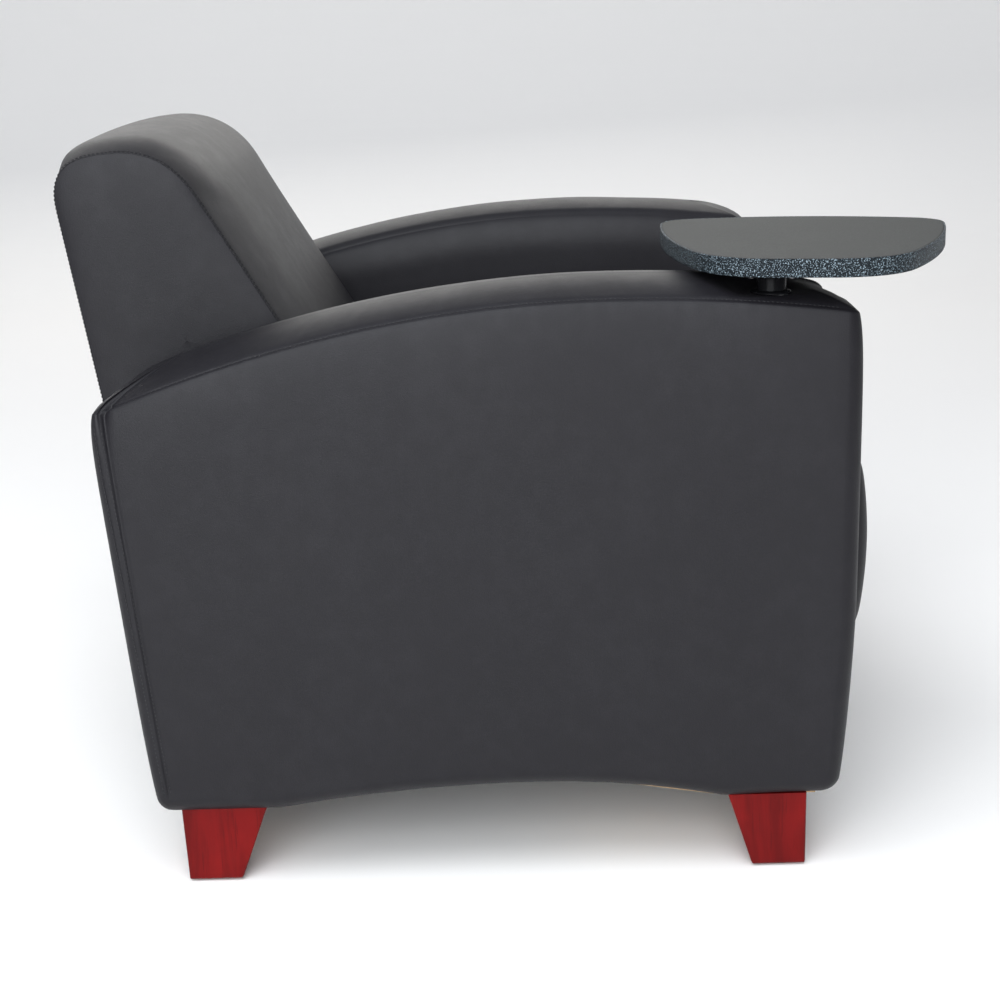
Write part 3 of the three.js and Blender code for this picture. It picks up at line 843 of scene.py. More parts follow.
class ArmPlan:
    """The loop around an arm seen from above, which every level of the arm follows.

    For each point of the loop, cx tells how far across the straight part it is, fx and ky how far round its
    corner outwards and along the arm, and t how far it is from the front (0) to the back (1).
    """

    def __init__(self, arm):
        self.arm = arm
        corner = 14
        sweep = np.linspace(0, math.pi / 2, corner + 1)[1:-1]
        front = np.linspace(0, 1, 12)
        close_to_rear = 1 - np.geomspace(0.022, 0.0006, 12)
        side = np.concatenate([np.linspace(0, 1, 130)[:-4] * 0.966, close_to_rear, [1.0]])
        rear = np.linspace(1, 0, 12)
        cx = np.concatenate([front, np.ones(corner - 1), np.ones(len(side)), np.ones(corner - 1), rear])
        fx = np.concatenate([0 * front, np.sin(sweep), np.ones(len(side)), np.sin(sweep[::-1]), 0 * rear])
        bend_in = 1 - np.cos(sweep)
        ky = np.concatenate([0 * front, bend_in, np.ones(len(side)), bend_in[::-1], 0 * rear])
        t = np.concatenate([0 * front, 0 * sweep, side, 1 + 0 * sweep, 1 + 0 * rear])
        # The second half mirrors the first, without its two middle points.
        self.cx = np.concatenate([cx, -cx[1:-1][::-1]])
        self.fx = np.concatenate([fx, -fx[1:-1][::-1]])
        self.ky = np.concatenate([ky, ky[1:-1][::-1]])
        self.t = np.concatenate([t, t[1:-1][::-1]])
        self.count = len(self.t)

    def loop(self, level, inset, bow=1.0, soft=0.0):
        """Plan points at a height (one for each point) and an inset from the sides."""
        arm = self.arm
        width = arm.half_width - inset
        front = np.minimum(np.maximum(arm.front_round - inset, 0.002) + soft, width)
        rear = np.minimum(np.maximum(arm.rear_round - inset, 0.002) + soft, width)
        radius = np.where(self.t < 0.5, front, rear)
        x = self.cx * (width - radius) + self.fx * radius
        belly = (1 - (x / arm.half_width) ** 2) * bow
        start = arm_front(level) + inset + self.ky * front
        end = arm_rear(level) - inset - self.ky * rear
        y = (1 - self.t) * start + self.t * end
        y = y + np.where(self.t == 0, -0.003, np.where(self.t == 1, 0.005, 0)) * belly
        return x, y


# The post's place on its arm, from the arm's middle, and how flat the cover lies around it.
POST_ON_ARM = np.array([0.042, 0.089])
POST_BED = 0.0210
POST_BED_FADE = 0.038
POST_BED_HEIGHT = 0.6187


def inner_profile(arm, rise):
    """How far the soft inner round is in from the side at a height above its start."""
    tall = arm.inner_fall + arm.roll
    return arm.inner_round * (1 - np.sqrt(1 - np.clip(rise / tall, 0.0, 1.0) ** 2))


def fading(distance, reach):
    """1 at no distance, and less and less beyond."""
    return np.exp(-distance / reach)


def ditch(distance, width):
    """1 in a narrow stripe around no distance, and 0 beyond."""
    return np.exp(-((distance / width) ** 2))


def cap_height(arm, x, y, level):
    """Height of a cap over its seam at a place on it, and how far its ends let it rise (0 to 1).

    x is taken from the arm's middle outwards and y from the front of the arm.
    """
    outer = arm.half_width - arm.seam_inset * 1.16 - x
    inner = arm.half_width + x
    dome = arm.dome * (1 - (x / arm.half_width) ** 2)
    outer_rise = arm.roll * rolled(outer / arm.roll_run)
    tall = arm.inner_fall + arm.roll
    inner_rise = tall * rolled(inner / arm.inner_round) - arm.inner_fall
    ends = np.minimum(y - arm_front(level) - 0.004, arm_rear(level) - 0.004 - y)
    return np.minimum(outer_rise + dome, inner_rise + dome), rolled(ends / 0.018)


# How far a row of stitches is from the rear seam, and how many rings it ends short of the cap.
ROW_OFF_SEAM = 0.0034
OUTER_ROW_SHORT, INNER_ROW_SHORT = 8, 14
# How far rings of the underside are in from the side, and how far rings of the wall are under the cap's seam.
UNDERSIDE_INSETS = (0.083, 0.072, 0.060, 0.050, 0.041, 0.033, 0.0275)
UNDER_CAP = (0.050, 0.041, 0.033, 0.0265, 0.021, 0.0165, 0.0128, 0.0098, 0.0074, 0.0055, 0.0040, 0.0028,
             0.0018, 0.0010, 0.0004, 0.0)
# How far rings of the cap are in from its seam, up to its middle line.
OVER_CAP = (0.0005, 0.0011, 0.0019, 0.003, 0.0044, 0.0062, 0.0085, 0.0115, 0.015, 0.020, 0.026, 0.033, 0.041,
            0.049, 0.057, 0.064, 0.070, 0.0745)
LOW_EDGE_RINGS = 10
WALL_RINGS = 54
LOW_INSET = 0.0030
GROOVE_DEPTH, GROOVE_WIDTH = 0.0030, 0.0014
PUCKER_SIZE, PUCKER_HEIGHT = 0.022, 0.00055
REAR_SEAM_BULGE, REAR_SEAM_DEPTH, REAR_SEAM_WIDTH = 0.0009, 0.0012, 0.0009
TUCK_BEHIND, TUCK_FRONT = 0.0050, 0.0030


class ArmShape:
    """Rings of an arm from its underside over its walls to its cap."""

    def __init__(self, arm, side):
        self.arm = arm
        self.side = side
        self.seed = 3 if side < 0 else 8
        self.plan = plan = ArmPlan(arm)
        between_ends = plan.t * (1 - plan.t) > 0
        self.inner = np.where(between_ends, (plan.cx < 0) * 1.0, smooth_step((0.25 - plan.cx) / 1.0))
        self.outer = 1 - self.inner
        self.rings = []
        self.add_underside()
        self.add_walls()
        self.seam_ring = len(self.rings) - 1
        self.add_cap()

    def level(self, kind, value, inset=0.0):
        """Heights around the loop: a part of the way up the wall, or a distance from its top or bottom."""
        z = np.full(self.plan.count, 0.35)
        for _ in range(3):
            _, y = self.plan.loop(z, inset)
            top, low = cap_seam(y), arm_underside(y)
            if kind == "under the seam":
                z = top - value
            elif kind == "over the edge":
                z = low + value
            else:
                z = (low + 0.026) + (top - 0.060 - low - 0.026) * value
        return z, y

    def add_ring(self, z, inset, bow=1.0, soft=0.0):
        x, y = self.plan.loop(z, inset, bow, soft)
        self.rings.append(np.column_stack([x, y, z]))

    def add_underside(self):
        """The underside, from its middle outwards, and the round of the lower edge."""
        size = self.arm.low_round
        every = np.ones(self.plan.count)
        for inset in UNDERSIDE_INSETS:
            z, _ = self.level("over the edge", 0.0, inset)
            self.add_ring(z, inset * every, 0.4, 0.7 * (inset - size))
        for turn in np.linspace(math.pi / 2, 0, LOW_EDGE_RINGS):
            inset = size * 1.1 * (1 - math.cos(turn))
            z, _ = self.level("over the edge", size * (1 - math.sin(turn)), inset)
            self.add_ring(z, (inset + LOW_INSET) * every, 1.0, 0.008 * (1 - math.cos(turn)))

    def add_walls(self):
        """The walls, from the lower edge up to the seam of the cap."""
        levels = [("up the wall", part) for part in np.linspace(0, 1, WALL_RINGS)]
        for kind, value in levels + [("under the seam", distance) for distance in UNDER_CAP]:
            z, y = self.level(kind, value)
            self.add_ring(z, self.wall_inset(y, z))

    def wall_inset(self, y, z):
        """How far a ring of the wall is in from the side: seams, tucks, puckers and soft unevenness."""
        arm, plan, seed = self.arm, self.plan, self.seed
        under_cap = cap_seam(y) - z
        over_floor = np.maximum(z - arm_underside(y) - arm.low_round, 0)
        forward = y - arm_front(z)
        behind = y - (arm_rear(z) - arm.rear_seam)
        panel = 1 - smooth_step((behind + 0.0005) / 0.001)
        past = np.maximum(behind, 0)
        # The seam of the cap.
        seam = arm.seam_inset * (0.24 * fading(under_cap, 0.0028) + 0.92 * fading(under_cap, 0.034))
        seam = seam * fading(past, 0.006) * (1 - 0.6 * fading(forward, 0.012))
        groove = GROOVE_DEPTH * ditch(under_cap, GROOVE_WIDTH)
        groove += ripple(y, z * 0.3, PUCKER_SIZE, seed) * PUCKER_HEIGHT * fading(under_cap, 0.014)
        inset = LOW_INSET * fading(over_floor, 0.045) + (seam + groove * fading(past, 0.004)) * self.outer
        tucked = TUCK_BEHIND * smooth_step((behind + 0.010) / 0.014) + TUCK_FRONT * fading(forward, 0.006)
        inset = inset + tucked * fading(under_cap, 0.020)
        inset = inset + self.inner * inner_profile(arm, arm.inner_fall - under_cap)
        # The seam down the rear.
        rear = REAR_SEAM_BULGE * fading(np.abs(behind), 0.0035)
        rear += REAR_SEAM_DEPTH * ditch(behind, REAR_SEAM_WIDTH)
        rear += 0.0014 * np.exp(behind / 0.020) * panel
        rear += ripple(z, y * 0.2, 0.016, seed + 1) * 0.0003 * fading(np.abs(behind), 0.008)
        straight = (plan.t > 0) & (plan.t < 1)
        soft = ripple(y, z, 0.30, seed + 2) * 0.0008
        return inset + np.where(straight | (behind > -0.03), rear, 0) + soft * straight

    def add_cap(self):
        """The cap, from its seam to its middle line."""
        arm, seed = self.arm, self.seed
        edge_x, edge_y, edge_z = self.rings[-1].T
        base_x, base_y = self.plan.loop(edge_z, arm.half_width - 0.0015, 0.0)
        start_height, _ = cap_height(arm, edge_x, edge_y, edge_z)
        for d in OVER_CAP:
            far = d / OVER_CAP[-1]
            x = edge_x + (base_x - edge_x) * far
            y = edge_y + (base_y - edge_y) * far
            high, ends = cap_height(arm, x, y, edge_z)
            high = high - start_height * fading(d, 0.035)
            high += ripple(y, d, 0.02, seed + 4) * 0.0004 * fading(d, 0.010) * self.outer
            high += ripple(y, x, 0.16, seed + 5) * 0.0005 * min(1.0, d / 0.02)
            z = cap_seam(y) + high * ends
            if self.side < 0:
                away = np.hypot(x - POST_ON_ARM[0], y - POST_ON_ARM[1])
                bed = 1 - smooth_step((away - POST_BED) / POST_BED_FADE)
                z = z + (np.minimum(z, POST_BED_HEIGHT) - z) * bed
            self.rings.append(np.column_stack([x, y, z]))


def build_arm(name, side, settings, arm):
    """One padded arm, the stitches in its cap's seam and two rows beside each rear seam."""
    shape = ArmShape(arm, side)
    plan, rings = shape.plan, shape.rings

    def in_place(points):
        """From the arm's own middle to its side of the chair."""
        points = points.copy()
        points[:, 0] = side * (arm.middle + points[:, 0])
        return points

    points, faces = stacked(rings)
    for first in (0, len(points) - plan.count):
        faces += zipped(list(range(first, first + plan.count)))
    made = make_mesh(f"{name}_arm_leather", in_place(points), faces)
    set_down(made, "leather", "chair", [f"{name}_arm_cover"])

    shown = [i for i in range(plan.count // 2) if 0.0005 <= plan.t[i] <= 0.976]
    line = in_place(rings[shape.seam_ring][shown])
    normals = np.tile([side * 0.75, 0.0, 0.65], (len(line), 1))
    sew(f"{name}_arm_cap_stitches", line, normals, settings, 0.0002, 0.12)

    first = len(UNDERSIDE_INSETS) + LOW_EDGE_RINGS
    for label, facing, short in (("outer", 1, OUTER_ROW_SHORT), ("inner", -1, INNER_ROW_SHORT)):
        columns = [i for i in range(plan.count) if 0 < plan.t[i] < 1 and (plan.cx[i] > 0) == (facing > 0)]
        wall = [ring[columns] for ring in rings[first:shape.seam_ring - short]]
        for number, off in ((1, -ROW_OFF_SEAM), (2, ROW_OFF_SEAM)):
            line = []
            for ring in wall:
                x, y, z = ring[np.argsort(ring[:, 1])].T
                at = arm_rear(z.mean()) - arm.rear_seam + off
                line.append([np.interp(at, y, x), at, np.interp(at, y, z)])
            row = in_place(np.array(line))
            normals = np.tile([side * facing, 0.0, 0.0], (len(row), 1))
            sew(f"{name}_arm_{label}_rear_stitches_{number}", row, normals, settings, 0.0001)


class LOUNGE_OT_arms(bpy.types.Operator):
    """Padded arms with their capped and stitched covers"""

    bl_idname = "lounge_chair.arms"
    bl_label = "Arms"

    def execute(self, context):
        for name, side in SIDES:
            build_arm(name, side, context.scene.chair_leather, context.scene.chair_arm)
        return {"FINISHED"}


# ---- Back -------------------------------------------------------------------------------------------

# Corners of the seam around a side panel of the back: Y, Z and how much of each edge the corner takes.
BACK_SEAM = [
    (0.530, 0.302, 0.012),
    (0.764, 0.302, 0.012),
    (0.838, 0.753, 0.050),
    (0.714, 0.768, 0.062),
    (0.5200, 0.444, 0.040),
]
BACK_HEART = np.array([0.700, 0.560])
BACK_LEAN_FROM = 0.42
BACK_LEAN_RUN = 0.35


# How far rings of the back's cover are in from its side seam: over the side panel, and over the band.
SIDE_PANEL_SHARES = (0.08, 0.3, 0.52, 0.72, 0.88)
SIDE_PANEL_STEPS = (0.11, 0.092, 0.074, 0.058, 0.044, 0.032, 0.022, 0.014, 0.0085, 0.0045, 0.0018)
BAND_STEPS = (0.0016, 0.0042, 0.0085, 0.014, 0.021, 0.029, 0.038, 0.048, 0.059, 0.071, 0.084, 0.099, 0.116,
              0.135, 0.156, 0.180, 0.206, 0.234)
SIDE_SEAM_INSET = 0.005
SIDE_PANEL_DEEPEST = SIDE_PANEL_STEPS[0]


def back_layers(cushions, outline, normal, grow):
    """Rings of the back's cover from its right side to its left, each with how firmly it is held."""
    half = cushions.back_half
    seam_x = half - SIDE_SEAM_INSET

    def leaned(spots):
        """How far places on a side lean in, from none below the arms to all of it at the top."""
        return cushions.back_lean * np.clip((spots[..., 1] - BACK_LEAN_FROM) / BACK_LEAN_RUN, 0.0, 1.0)

    lean = leaned(outline)
    away = outline - BACK_HEART
    reach = np.linalg.norm(away, axis=1)[:, None]
    side_steps = [(SIDE_PANEL_DEEPEST, -0.0002, part) for part in SIDE_PANEL_SHARES]
    side_steps += [(d, 0.0052 * math.exp(-d / 0.020) - 0.0002, 1.0) for d in SIDE_PANEL_STEPS]
    layers = []
    for distance, inset, part in side_steps:
        flat = BACK_HEART + away / reach * np.maximum(reach - distance, 0.004) * part
        layers.append((np.column_stack([-half + inset + leaned(flat), flat]), 1.0))
    layers.append((np.column_stack([-seam_x + lean, outline]), 1.0))
    for d in BAND_STEPS:
        near = max(0.0, 1 - d / cushions.back_roll_run)
        lift = cushions.back_roll * (1 - near**2) + cushions.back_dome * (1 - (1 - d / seam_x) ** 2)
        x = -seam_x + d + lean * (1 - d / seam_x)
        layers.append((np.column_stack([x, outline + normal * (lift * grow)[:, None]]), math.exp(-d / 0.008)))
    mirrored = [(ring * np.array([-1, 1, 1]), weight) for ring, weight in reversed(layers)]
    middle = outline + normal * ((cushions.back_roll + cushions.back_dome) * grow)[:, None]
    layers.append((np.column_stack([np.zeros(len(outline)), middle]), 0.0))
    x_heart = half - leaned(BACK_HEART)
    return layers + mirrored, [-x_heart, *BACK_HEART], [x_heart, *BACK_HEART]


def build_back(settings, cushions):
    """The back's padded cover, swollen by its filling, and two rows of stitches along each side seam."""
    outline = rounded_outline(BACK_SEAM, 0.0085)
    normal = outward_2d(outline)
    count = len(outline)
    behind = smooth_step((normal[:, 0] - 0.72) / 0.26)
    below = smooth_step((-normal[:, 1] - 0.6) / 0.3)
    grow = 0.12 + 0.88 * (1 - np.maximum(behind * 0.85, below))
    layers, first, last = back_layers(cushions, outline, normal, grow)
    hold = [np.maximum(weight, np.maximum(behind, below)) for _, weight in layers]
    hold = np.concatenate([*hold, [1.0, 1.0]])
    made = make_mesh("back_leather", *capped([ring for ring, _ in layers], first, last))
    swell(made, hold, cushions.pressure, cushions.back_swell, cushions.settle_frames)
    right_seam = len(SIDE_PANEL_SHARES) + len(SIDE_PANEL_STEPS)
    left_seam = len(layers) - 1 - right_seam
    covers = places(made)[:-2].reshape(len(layers), count, 3) - ORIGIN
    refine(made, seam_edges((right_seam, left_seam), count))
    set_down(made, "leather", "chair", ["back_cover"])
    order = seam_order(outline, np.flatnonzero((outline[:, 1] > 0.42) | (outline[:, 0] > 0.75)))
    for name, side, seam, inward in (("right", -1, right_seam, 2), ("left", 1, left_seam, -2)):
        up = np.column_stack([np.full(count, side * 0.35), normal])[order]
        sew(f"back_{name}_seam_stitches", covers[seam][order], up, settings, 0.0004, 0.12)
        sew(f"back_{name}_top_stitches", covers[seam + inward][order], up, settings, 0.0003)


def seam_order(outline, shown):
    """The shown points in one run, from the front foot of the seam to its rear foot."""
    count = len(outline)
    shown = {int(i) for i in shown}
    at = min(i for i in shown if (i - 1) % count not in shown)
    order = []
    while at in shown and len(order) < count:
        order.append(at)
        at = (at + 1) % count
    return order


# How far rings of the panel behind are in from its edge, and its stitched border.
PANEL_STEPS = (0.0, 0.0006, 0.0015, 0.003, 0.005, 0.0075, 0.010, 0.0125, 0.016, 0.022, 0.032, 0.050, 0.080,
               0.13, 0.19, 0.25)
PANEL_ROUND = 0.016
PANEL_GROOVE_AT, PANEL_GROOVE_DEPTH, PANEL_GROOVE_WIDTH = 0.0125, 0.0011, 0.0010
PANEL_STITCHES_AT = 0.0095
PANEL_UNDER = -0.0095


def panel_loop(low, high, inset):
    """The panel's outline at an inset, with as many points at each inset."""
    half, bottom, top = (high.x - low.x) / 2 - inset, low.z + inset, high.z - inset
    size = max(0.004, PANEL_ROUND - inset * 0.5)
    corners = [np.array(spot) for spot in ((-half, bottom), (half, bottom), (half, top), (-half, top))]
    line = []
    for i, here in enumerate(corners):
        before, after = corners[i - 1], corners[(i + 1) % 4]
        end, stop = toward(here, after, size), toward(after, here, size)
        line += bend(toward(here, before, size), here, end, 7)
        steps = 60 if i % 2 else 54
        line += [end + (stop - end) * t for t in np.linspace(0, 1, steps + 2)[1:-1]]
    return np.array(line)


def panel_rise(inset):
    """How far the panel's padded face stands out at an inset."""
    return -0.004 + 0.0045 * float(rolled(inset / 0.008)) + 0.0035 * (1 - math.exp(-inset / 0.06))


def build_outside_back(settings):
    """The flat panel that closes the rear, with a padded face and a stitched border."""
    low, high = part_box("outside_back_panel")
    tall = high.z - low.z
    lean = ((high.y - low.y) - 0.010) / tall
    foot = high.y - ORIGIN[1] - lean * tall

    def face(line, depth):
        y = foot + lean * (line[:, 1] - low.z) + depth
        return np.column_stack([line[:, 0], y, line[:, 1]])

    rings = [face(panel_loop(low, high, inset), PANEL_UNDER) for inset in (0.25, 0.05, 0.0)]
    for inset in PANEL_STEPS:
        line = panel_loop(low, high, inset)
        x, z = line.T
        off = inset - PANEL_GROOVE_AT
        groove = PANEL_GROOVE_DEPTH * ditch(off, PANEL_GROOVE_WIDTH)
        soft = ripple(x, z, 0.22, 21) * 0.0006 * min(1.0, inset / 0.03)
        pucker = ripple(x, z, 0.018, 22) * 0.0003 * ditch(off, 0.006)
        rings.append(face(line, panel_rise(inset) - groove + soft + pucker))
    made = make_mesh("outside_back_leather", *capped(rings))
    set_down(made, "leather", "chair", ["outside_back_panel"])
    line = panel_loop(low, high, PANEL_STITCHES_AT)
    path = face(np.vstack([line, line[:1]]), panel_rise(PANEL_STITCHES_AT))
    normals = np.tile([0.0, 1.0, -lean], (len(path), 1))
    sew("outside_back_stitches", path, normals, settings, 0.0003)


class LOUNGE_OT_back(bpy.types.Operator):
    """Padded back with its side seams, and the panel that closes it behind"""

    bl_idname = "lounge_chair.back"
    bl_label = "Back"

    def execute(self, context):
        build_back(context.scene.chair_leather, context.scene.chair_cushion)
        build_outside_back(context.scene.chair_leather)
        return {"FINISHED"}


# ---- Seat -------------------------------------------------------------------------------------------


CUSHION_FRONT, CUSHION_REAR = -0.030, 0.510
CUSHION_LOW, CUSHION_HIGH = 0.1955, 0.4150
CUSHION_FRONT_ROUND, CUSHION_REAR_ROUND = 0.045, 0.030
# The cushion goes between the arms: how far it may bulge over its plan at the sides.
CUSHION_SIDE_BULGE = 0.0035
# How far rings of the top and the bottom are in from the seams, and how far rings of the boxing are from them.
CUSHION_STEPS = (0.27, 0.235, 0.195, 0.16, 0.128, 0.10, 0.077, 0.058, 0.042, 0.029, 0.019, 0.011, 0.0055,
                 0.002)
BOXING_STEPS = (0.002, 0.006)


def cushion_layers(half, outline, normal):
    """Rings of the cushion's cover from the middle of its bottom to the middle of its top, and their holds."""
    count = len(outline)
    tall = CUSHION_HIGH - CUSHION_LOW
    middle = np.array([0.0, (CUSHION_FRONT + CUSHION_REAR) / 2])
    at_front = smooth_step((-normal[:, 1] - 0.2) / 0.6)
    at_side = smooth_step((np.abs(normal[:, 0]) - 0.4) / 0.5)

    def level_ring(inset, z):
        return raised(middle + (outline - middle) * (1 - inset / (half + 0.01)), z)

    layers = []
    for inset in CUSHION_STEPS:
        layers.append((level_ring(inset, CUSHION_LOW - 0.0015 * (1 - math.exp(-inset / 0.03))), 1.0))
    layers.append((raised(outline, CUSHION_LOW), 1.0))
    heights = [*BOXING_STEPS, *np.linspace(0.013, tall - 0.013, 18)]
    heights += [tall - step for step in reversed(BOXING_STEPS)]
    for h in heights:
        belly = 4 * (h / tall) * (1 - h / tall)
        edge = min(h, tall - h)
        puff = 0.011 * at_front * belly + (0.002 + 0.010 * at_front) * float(rolled(edge / 0.030))
        puff = puff * (1 - 0.85 * at_side)
        layers.append((raised(outline + normal * puff[:, None], CUSHION_LOW + h), math.exp(-edge / 0.008)))
    layers.append((raised(outline, CUSHION_HIGH), 1.0))
    for inset in reversed(CUSHION_STEPS):
        crown = 0.0145 * float(rolled(inset / 0.060)) + 0.006 * (1 - (1 - inset / 0.28) ** 2)
        layers.append((level_ring(inset, CUSHION_HIGH + crown), math.exp(-inset / 0.010)))
    hold = np.concatenate([*(np.full(count, weight) for _, weight in layers), [1.0, 0.0]])
    ends = [*middle, CUSHION_LOW - 0.0015], [*middle, CUSHION_HIGH + 0.0205]
    return [ring for ring, _ in layers], hold, ends


def build_seat(settings, cushions):
    """The boxed seat cushion, swollen by its filling, and the stitches beside its upper seam."""
    half = cushions.seat_half
    outline = rounded_outline([
        (-half, CUSHION_FRONT, CUSHION_FRONT_ROUND), (half, CUSHION_FRONT, CUSHION_FRONT_ROUND),
        (half, CUSHION_REAR, CUSHION_REAR_ROUND), (-half, CUSHION_REAR, CUSHION_REAR_ROUND),
    ], 0.0105)
    normal = outward_2d(outline)
    count = len(outline)
    rings, hold, ends = cushion_layers(half, outline, normal)
    made = make_mesh("seat_cushion_leather", *capped(rings, *ends))
    swell(made, hold, cushions.pressure, cushions.seat_swell, cushions.settle_frames)
    spots = places(made)
    limit = half + CUSHION_SIDE_BULGE
    spots[:, 0] = np.clip(spots[:, 0] - ORIGIN[0], -limit, limit) + ORIGIN[0]
    put_at(made, spots)
    low_seam = len(CUSHION_STEPS)
    top_seam = len(rings) - 1 - low_seam
    cover = places(made)[:-2].reshape(len(rings), count, 3) - ORIGIN
    refine(made, seam_edges((low_seam, top_seam), count))
    set_down(made, "leather", "chair", ["seat_cushion"])
    rows = (("top", top_seam + 2, np.column_stack([normal * 0.3, np.ones(count)])),
            ("boxing", top_seam - 2, np.column_stack([normal, np.full(count, 0.3)])))
    for name, ring, up in rows:
        path = np.vstack([cover[ring], cover[ring][:1]])
        sew(f"seat_{name}_stitches", path, np.vstack([up, up[:1]]), settings, 0.0003)


BORDER_EDGE_STEPS = (0.0, 0.0015, 0.004, 0.009)


def build_border():
    """Padded panel under the front of the seat."""
    low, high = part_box("front_border")
    half = (high.x - low.x) / 2 - 0.0005
    centre, _ = box_centre("front_border")
    front, back = low.y - ORIGIN[1], high.y - ORIGIN[1]
    section = rounded_outline(
        [(front, low.z, 0.012), (back, low.z, 0.003), (back, high.z, 0.003), (front, high.z, 0.014)], 0.004
    )
    forward = smooth_step((-outward_2d(section)[:, 0] - 0.3) / 0.5)
    inward = unit(section.mean(0) - section)
    up = np.clip((section[:, 1] - low.z) / (high.z - low.z), 0, 1)
    stations = np.concatenate([BORDER_EDGE_STEPS, np.linspace(0.02, half, 24)])
    rings = []
    for along in np.concatenate([stations, 2 * half - stations[:-1][::-1]]):
        edge = min(along, 2 * half - along)
        fall = 0.006 * (1 - float(rolled(edge / 0.014)))
        belly = 0.004 * (1 - math.exp(-edge / 0.05)) * np.sin(up * math.pi)
        soft = ripple(along, section[:, 1], 0.12, 31) * 0.0004
        flat = section + inward * fall
        flat[:, 0] -= (belly + soft) * forward
        rings.append(np.column_stack([np.full(len(section), centre - half + along), flat]))
    made = make_mesh("front_border_leather", *capped(rings))
    set_down(made, "leather", "chair", ["front_border"])


class LOUNGE_OT_seat(bpy.types.Operator):
    """Boxed seat cushion and the padded border under its front"""

    bl_idname = "lounge_chair.seat"
    bl_label = "Seat"

    def execute(self, context):
        build_seat(context.scene.chair_leather, context.scene.chair_cushion)
        build_border()
        return {"FINISHED"}


# ---- Feet -------------------------------------------------------------------------------------------


# How far a foot reaches up into the cover, and the side of its square sole.
FOOT_TENON = 0.0035
FOOT_SOLE = 0.057
# How much deeper than wide a rear foot is at its top, and how far its sole is tucked in.
REAR_FOOT_SPREAD, REAR_FOOT_TUCK = 0.007, 0.0035


def build_foot(name, wood):
    """A tapered wooden foot with eased edges."""
    low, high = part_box(f"{name}_foot")
    front = "front" in name
    top = high.x - low.x
    spread, tuck = (0.0, 0.0) if front else (REAR_FOOT_SPREAD, REAR_FOOT_TUCK)
    x_out, x_sign = (high.x, -1) if name.startswith("left") else (low.x, 1)
    y_out, y_sign = (low.y, 1) if front else (high.y, -1)
    tall = high.z - low.z + FOOT_TENON
    levels = [(0.0, wood.edge * 1.3), (0.0006, wood.edge * 0.6), (0.0016, wood.edge * 0.18), (0.0034, 0.0)]
    levels += [(h, 0.0) for h in np.linspace(0.010, tall - 0.002, 14)] + [(tall, 0.0)]
    rings = []
    for h, shrink in levels:
        size = FOOT_SOLE + (top - FOOT_SOLE) * h / tall
        near, far = wood.edge, size - wood.edge
        ring = []
        for i, (x, y) in enumerate(((near, near), (far, near), (far, far), (near, far))):
            for turn in np.linspace(0, math.pi / 2, 6) + math.pi + i * math.pi / 2:
                ring.append((x + wood.edge * math.cos(turn), y + wood.edge * math.sin(turn)))
        ring = np.clip(np.array(ring), shrink, size - shrink)
        along = ring[:, 1] * (size + spread * h / tall) / size + tuck * (1 - h / tall)
        flat = np.column_stack([x_out + x_sign * ring[:, 0], y_out + y_sign * along])
        rings.append(raised(flat - ORIGIN[:2], low.z + h))
    made = make_mesh(f"{name}_wooden_foot", *capped(rings))
    made.data.set_sharp_from_angle(angle=math.radians(50))
    set_down(made, "mahogany", "chair", [f"{name}_foot"])


def build_glide(name):
    """The round glide under a foot, with eased edges."""
    low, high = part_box(f"{name}_glide")
    radius = (high.x - low.x) / 2
    profile = [(radius - 0.0022, low.z), (radius - 0.0008, low.z + 0.0003), (radius, low.z + 0.0010),
               (radius, high.z - 0.0003), (radius - 0.0004, high.z)]
    made = turned_piece(f"{name}_felt_glide", profile, box_centre(f"{name}_glide"), 48)
    set_down(made, "nylon", "chair", [f"{name}_glide"])


class LOUNGE_OT_feet(bpy.types.Operator):
    """Tapered wooden feet and their glides"""

    bl_idname = "lounge_chair.feet"
    bl_label = "Feet"

    def execute(self, context):
        for side, _ in SIDES:
            for place in ("front", "rear"):
                build_foot(f"{side}_{place}", context.scene.chair_wood)
                build_glide(f"{side}_{place}")
        return {"FINISHED"}


# ---- Tablet and swivel ------------------------------------------------------------------------------

PIVOT = np.array([-0.412, 0.089])
TABLET_TURN = math.radians(-9)
# Corners of the tablet about its post: across, along, how much of each edge the corner takes, and the bow
# of the edge to the next corner.
TABLET_CORNERS = [
    (-0.047, -0.119, 0.058, 0.020),
    (0.280, -0.191, 0.034, 0.029),
    (0.280, 0.125, 0.034, 0.020),
    (-0.047, 0.053, 0.058, 0.002),
]


def tablet_outline():
    """The tablet's outline about its post, with bowed edges and rounded corners."""
    corners = [np.array(corner[:2]) for corner in TABLET_CORNERS]
    count = len(corners)
    spans = [corners[(i + 1) % count] - corners[i] for i in range(count)]
    reaches = [np.linalg.norm(span) for span in spans]

    def on_edge(i, t):
        """The point a part t of the way along the bowed edge that starts at corner i."""
        out = np.array([spans[i][1], -spans[i][0]]) / reaches[i]
        return corners[i] + spans[i] * t + out * 4 * TABLET_CORNERS[i][3] * t * (1 - t)

    line = []
    for i in range(count):
        before, after = (i - 1) % count, (i + 1) % count
        size = TABLET_CORNERS[i][2]
        line += bend(on_edge(before, 1 - size / reaches[before]), corners[i], on_edge(i, size / reaches[i]))
        stop = 1 - TABLET_CORNERS[after][2] / reaches[i]
        line += [on_edge(i, t) for t in np.linspace(size / reaches[i], stop, 26)[1:-1]]
    return resampled(np.array(line), 0.003, True)


def on_tablet(points):
    """From the tablet's own axes about its post to the chair's."""
    c, s = math.cos(TABLET_TURN), math.sin(TABLET_TURN)
    points = np.asarray(points, float)
    x = PIVOT[0] + points[:, 0] * c - points[:, 1] * s
    y = PIVOT[1] + points[:, 0] * s + points[:, 1] * c
    return np.column_stack([x, y, points[:, 2]])


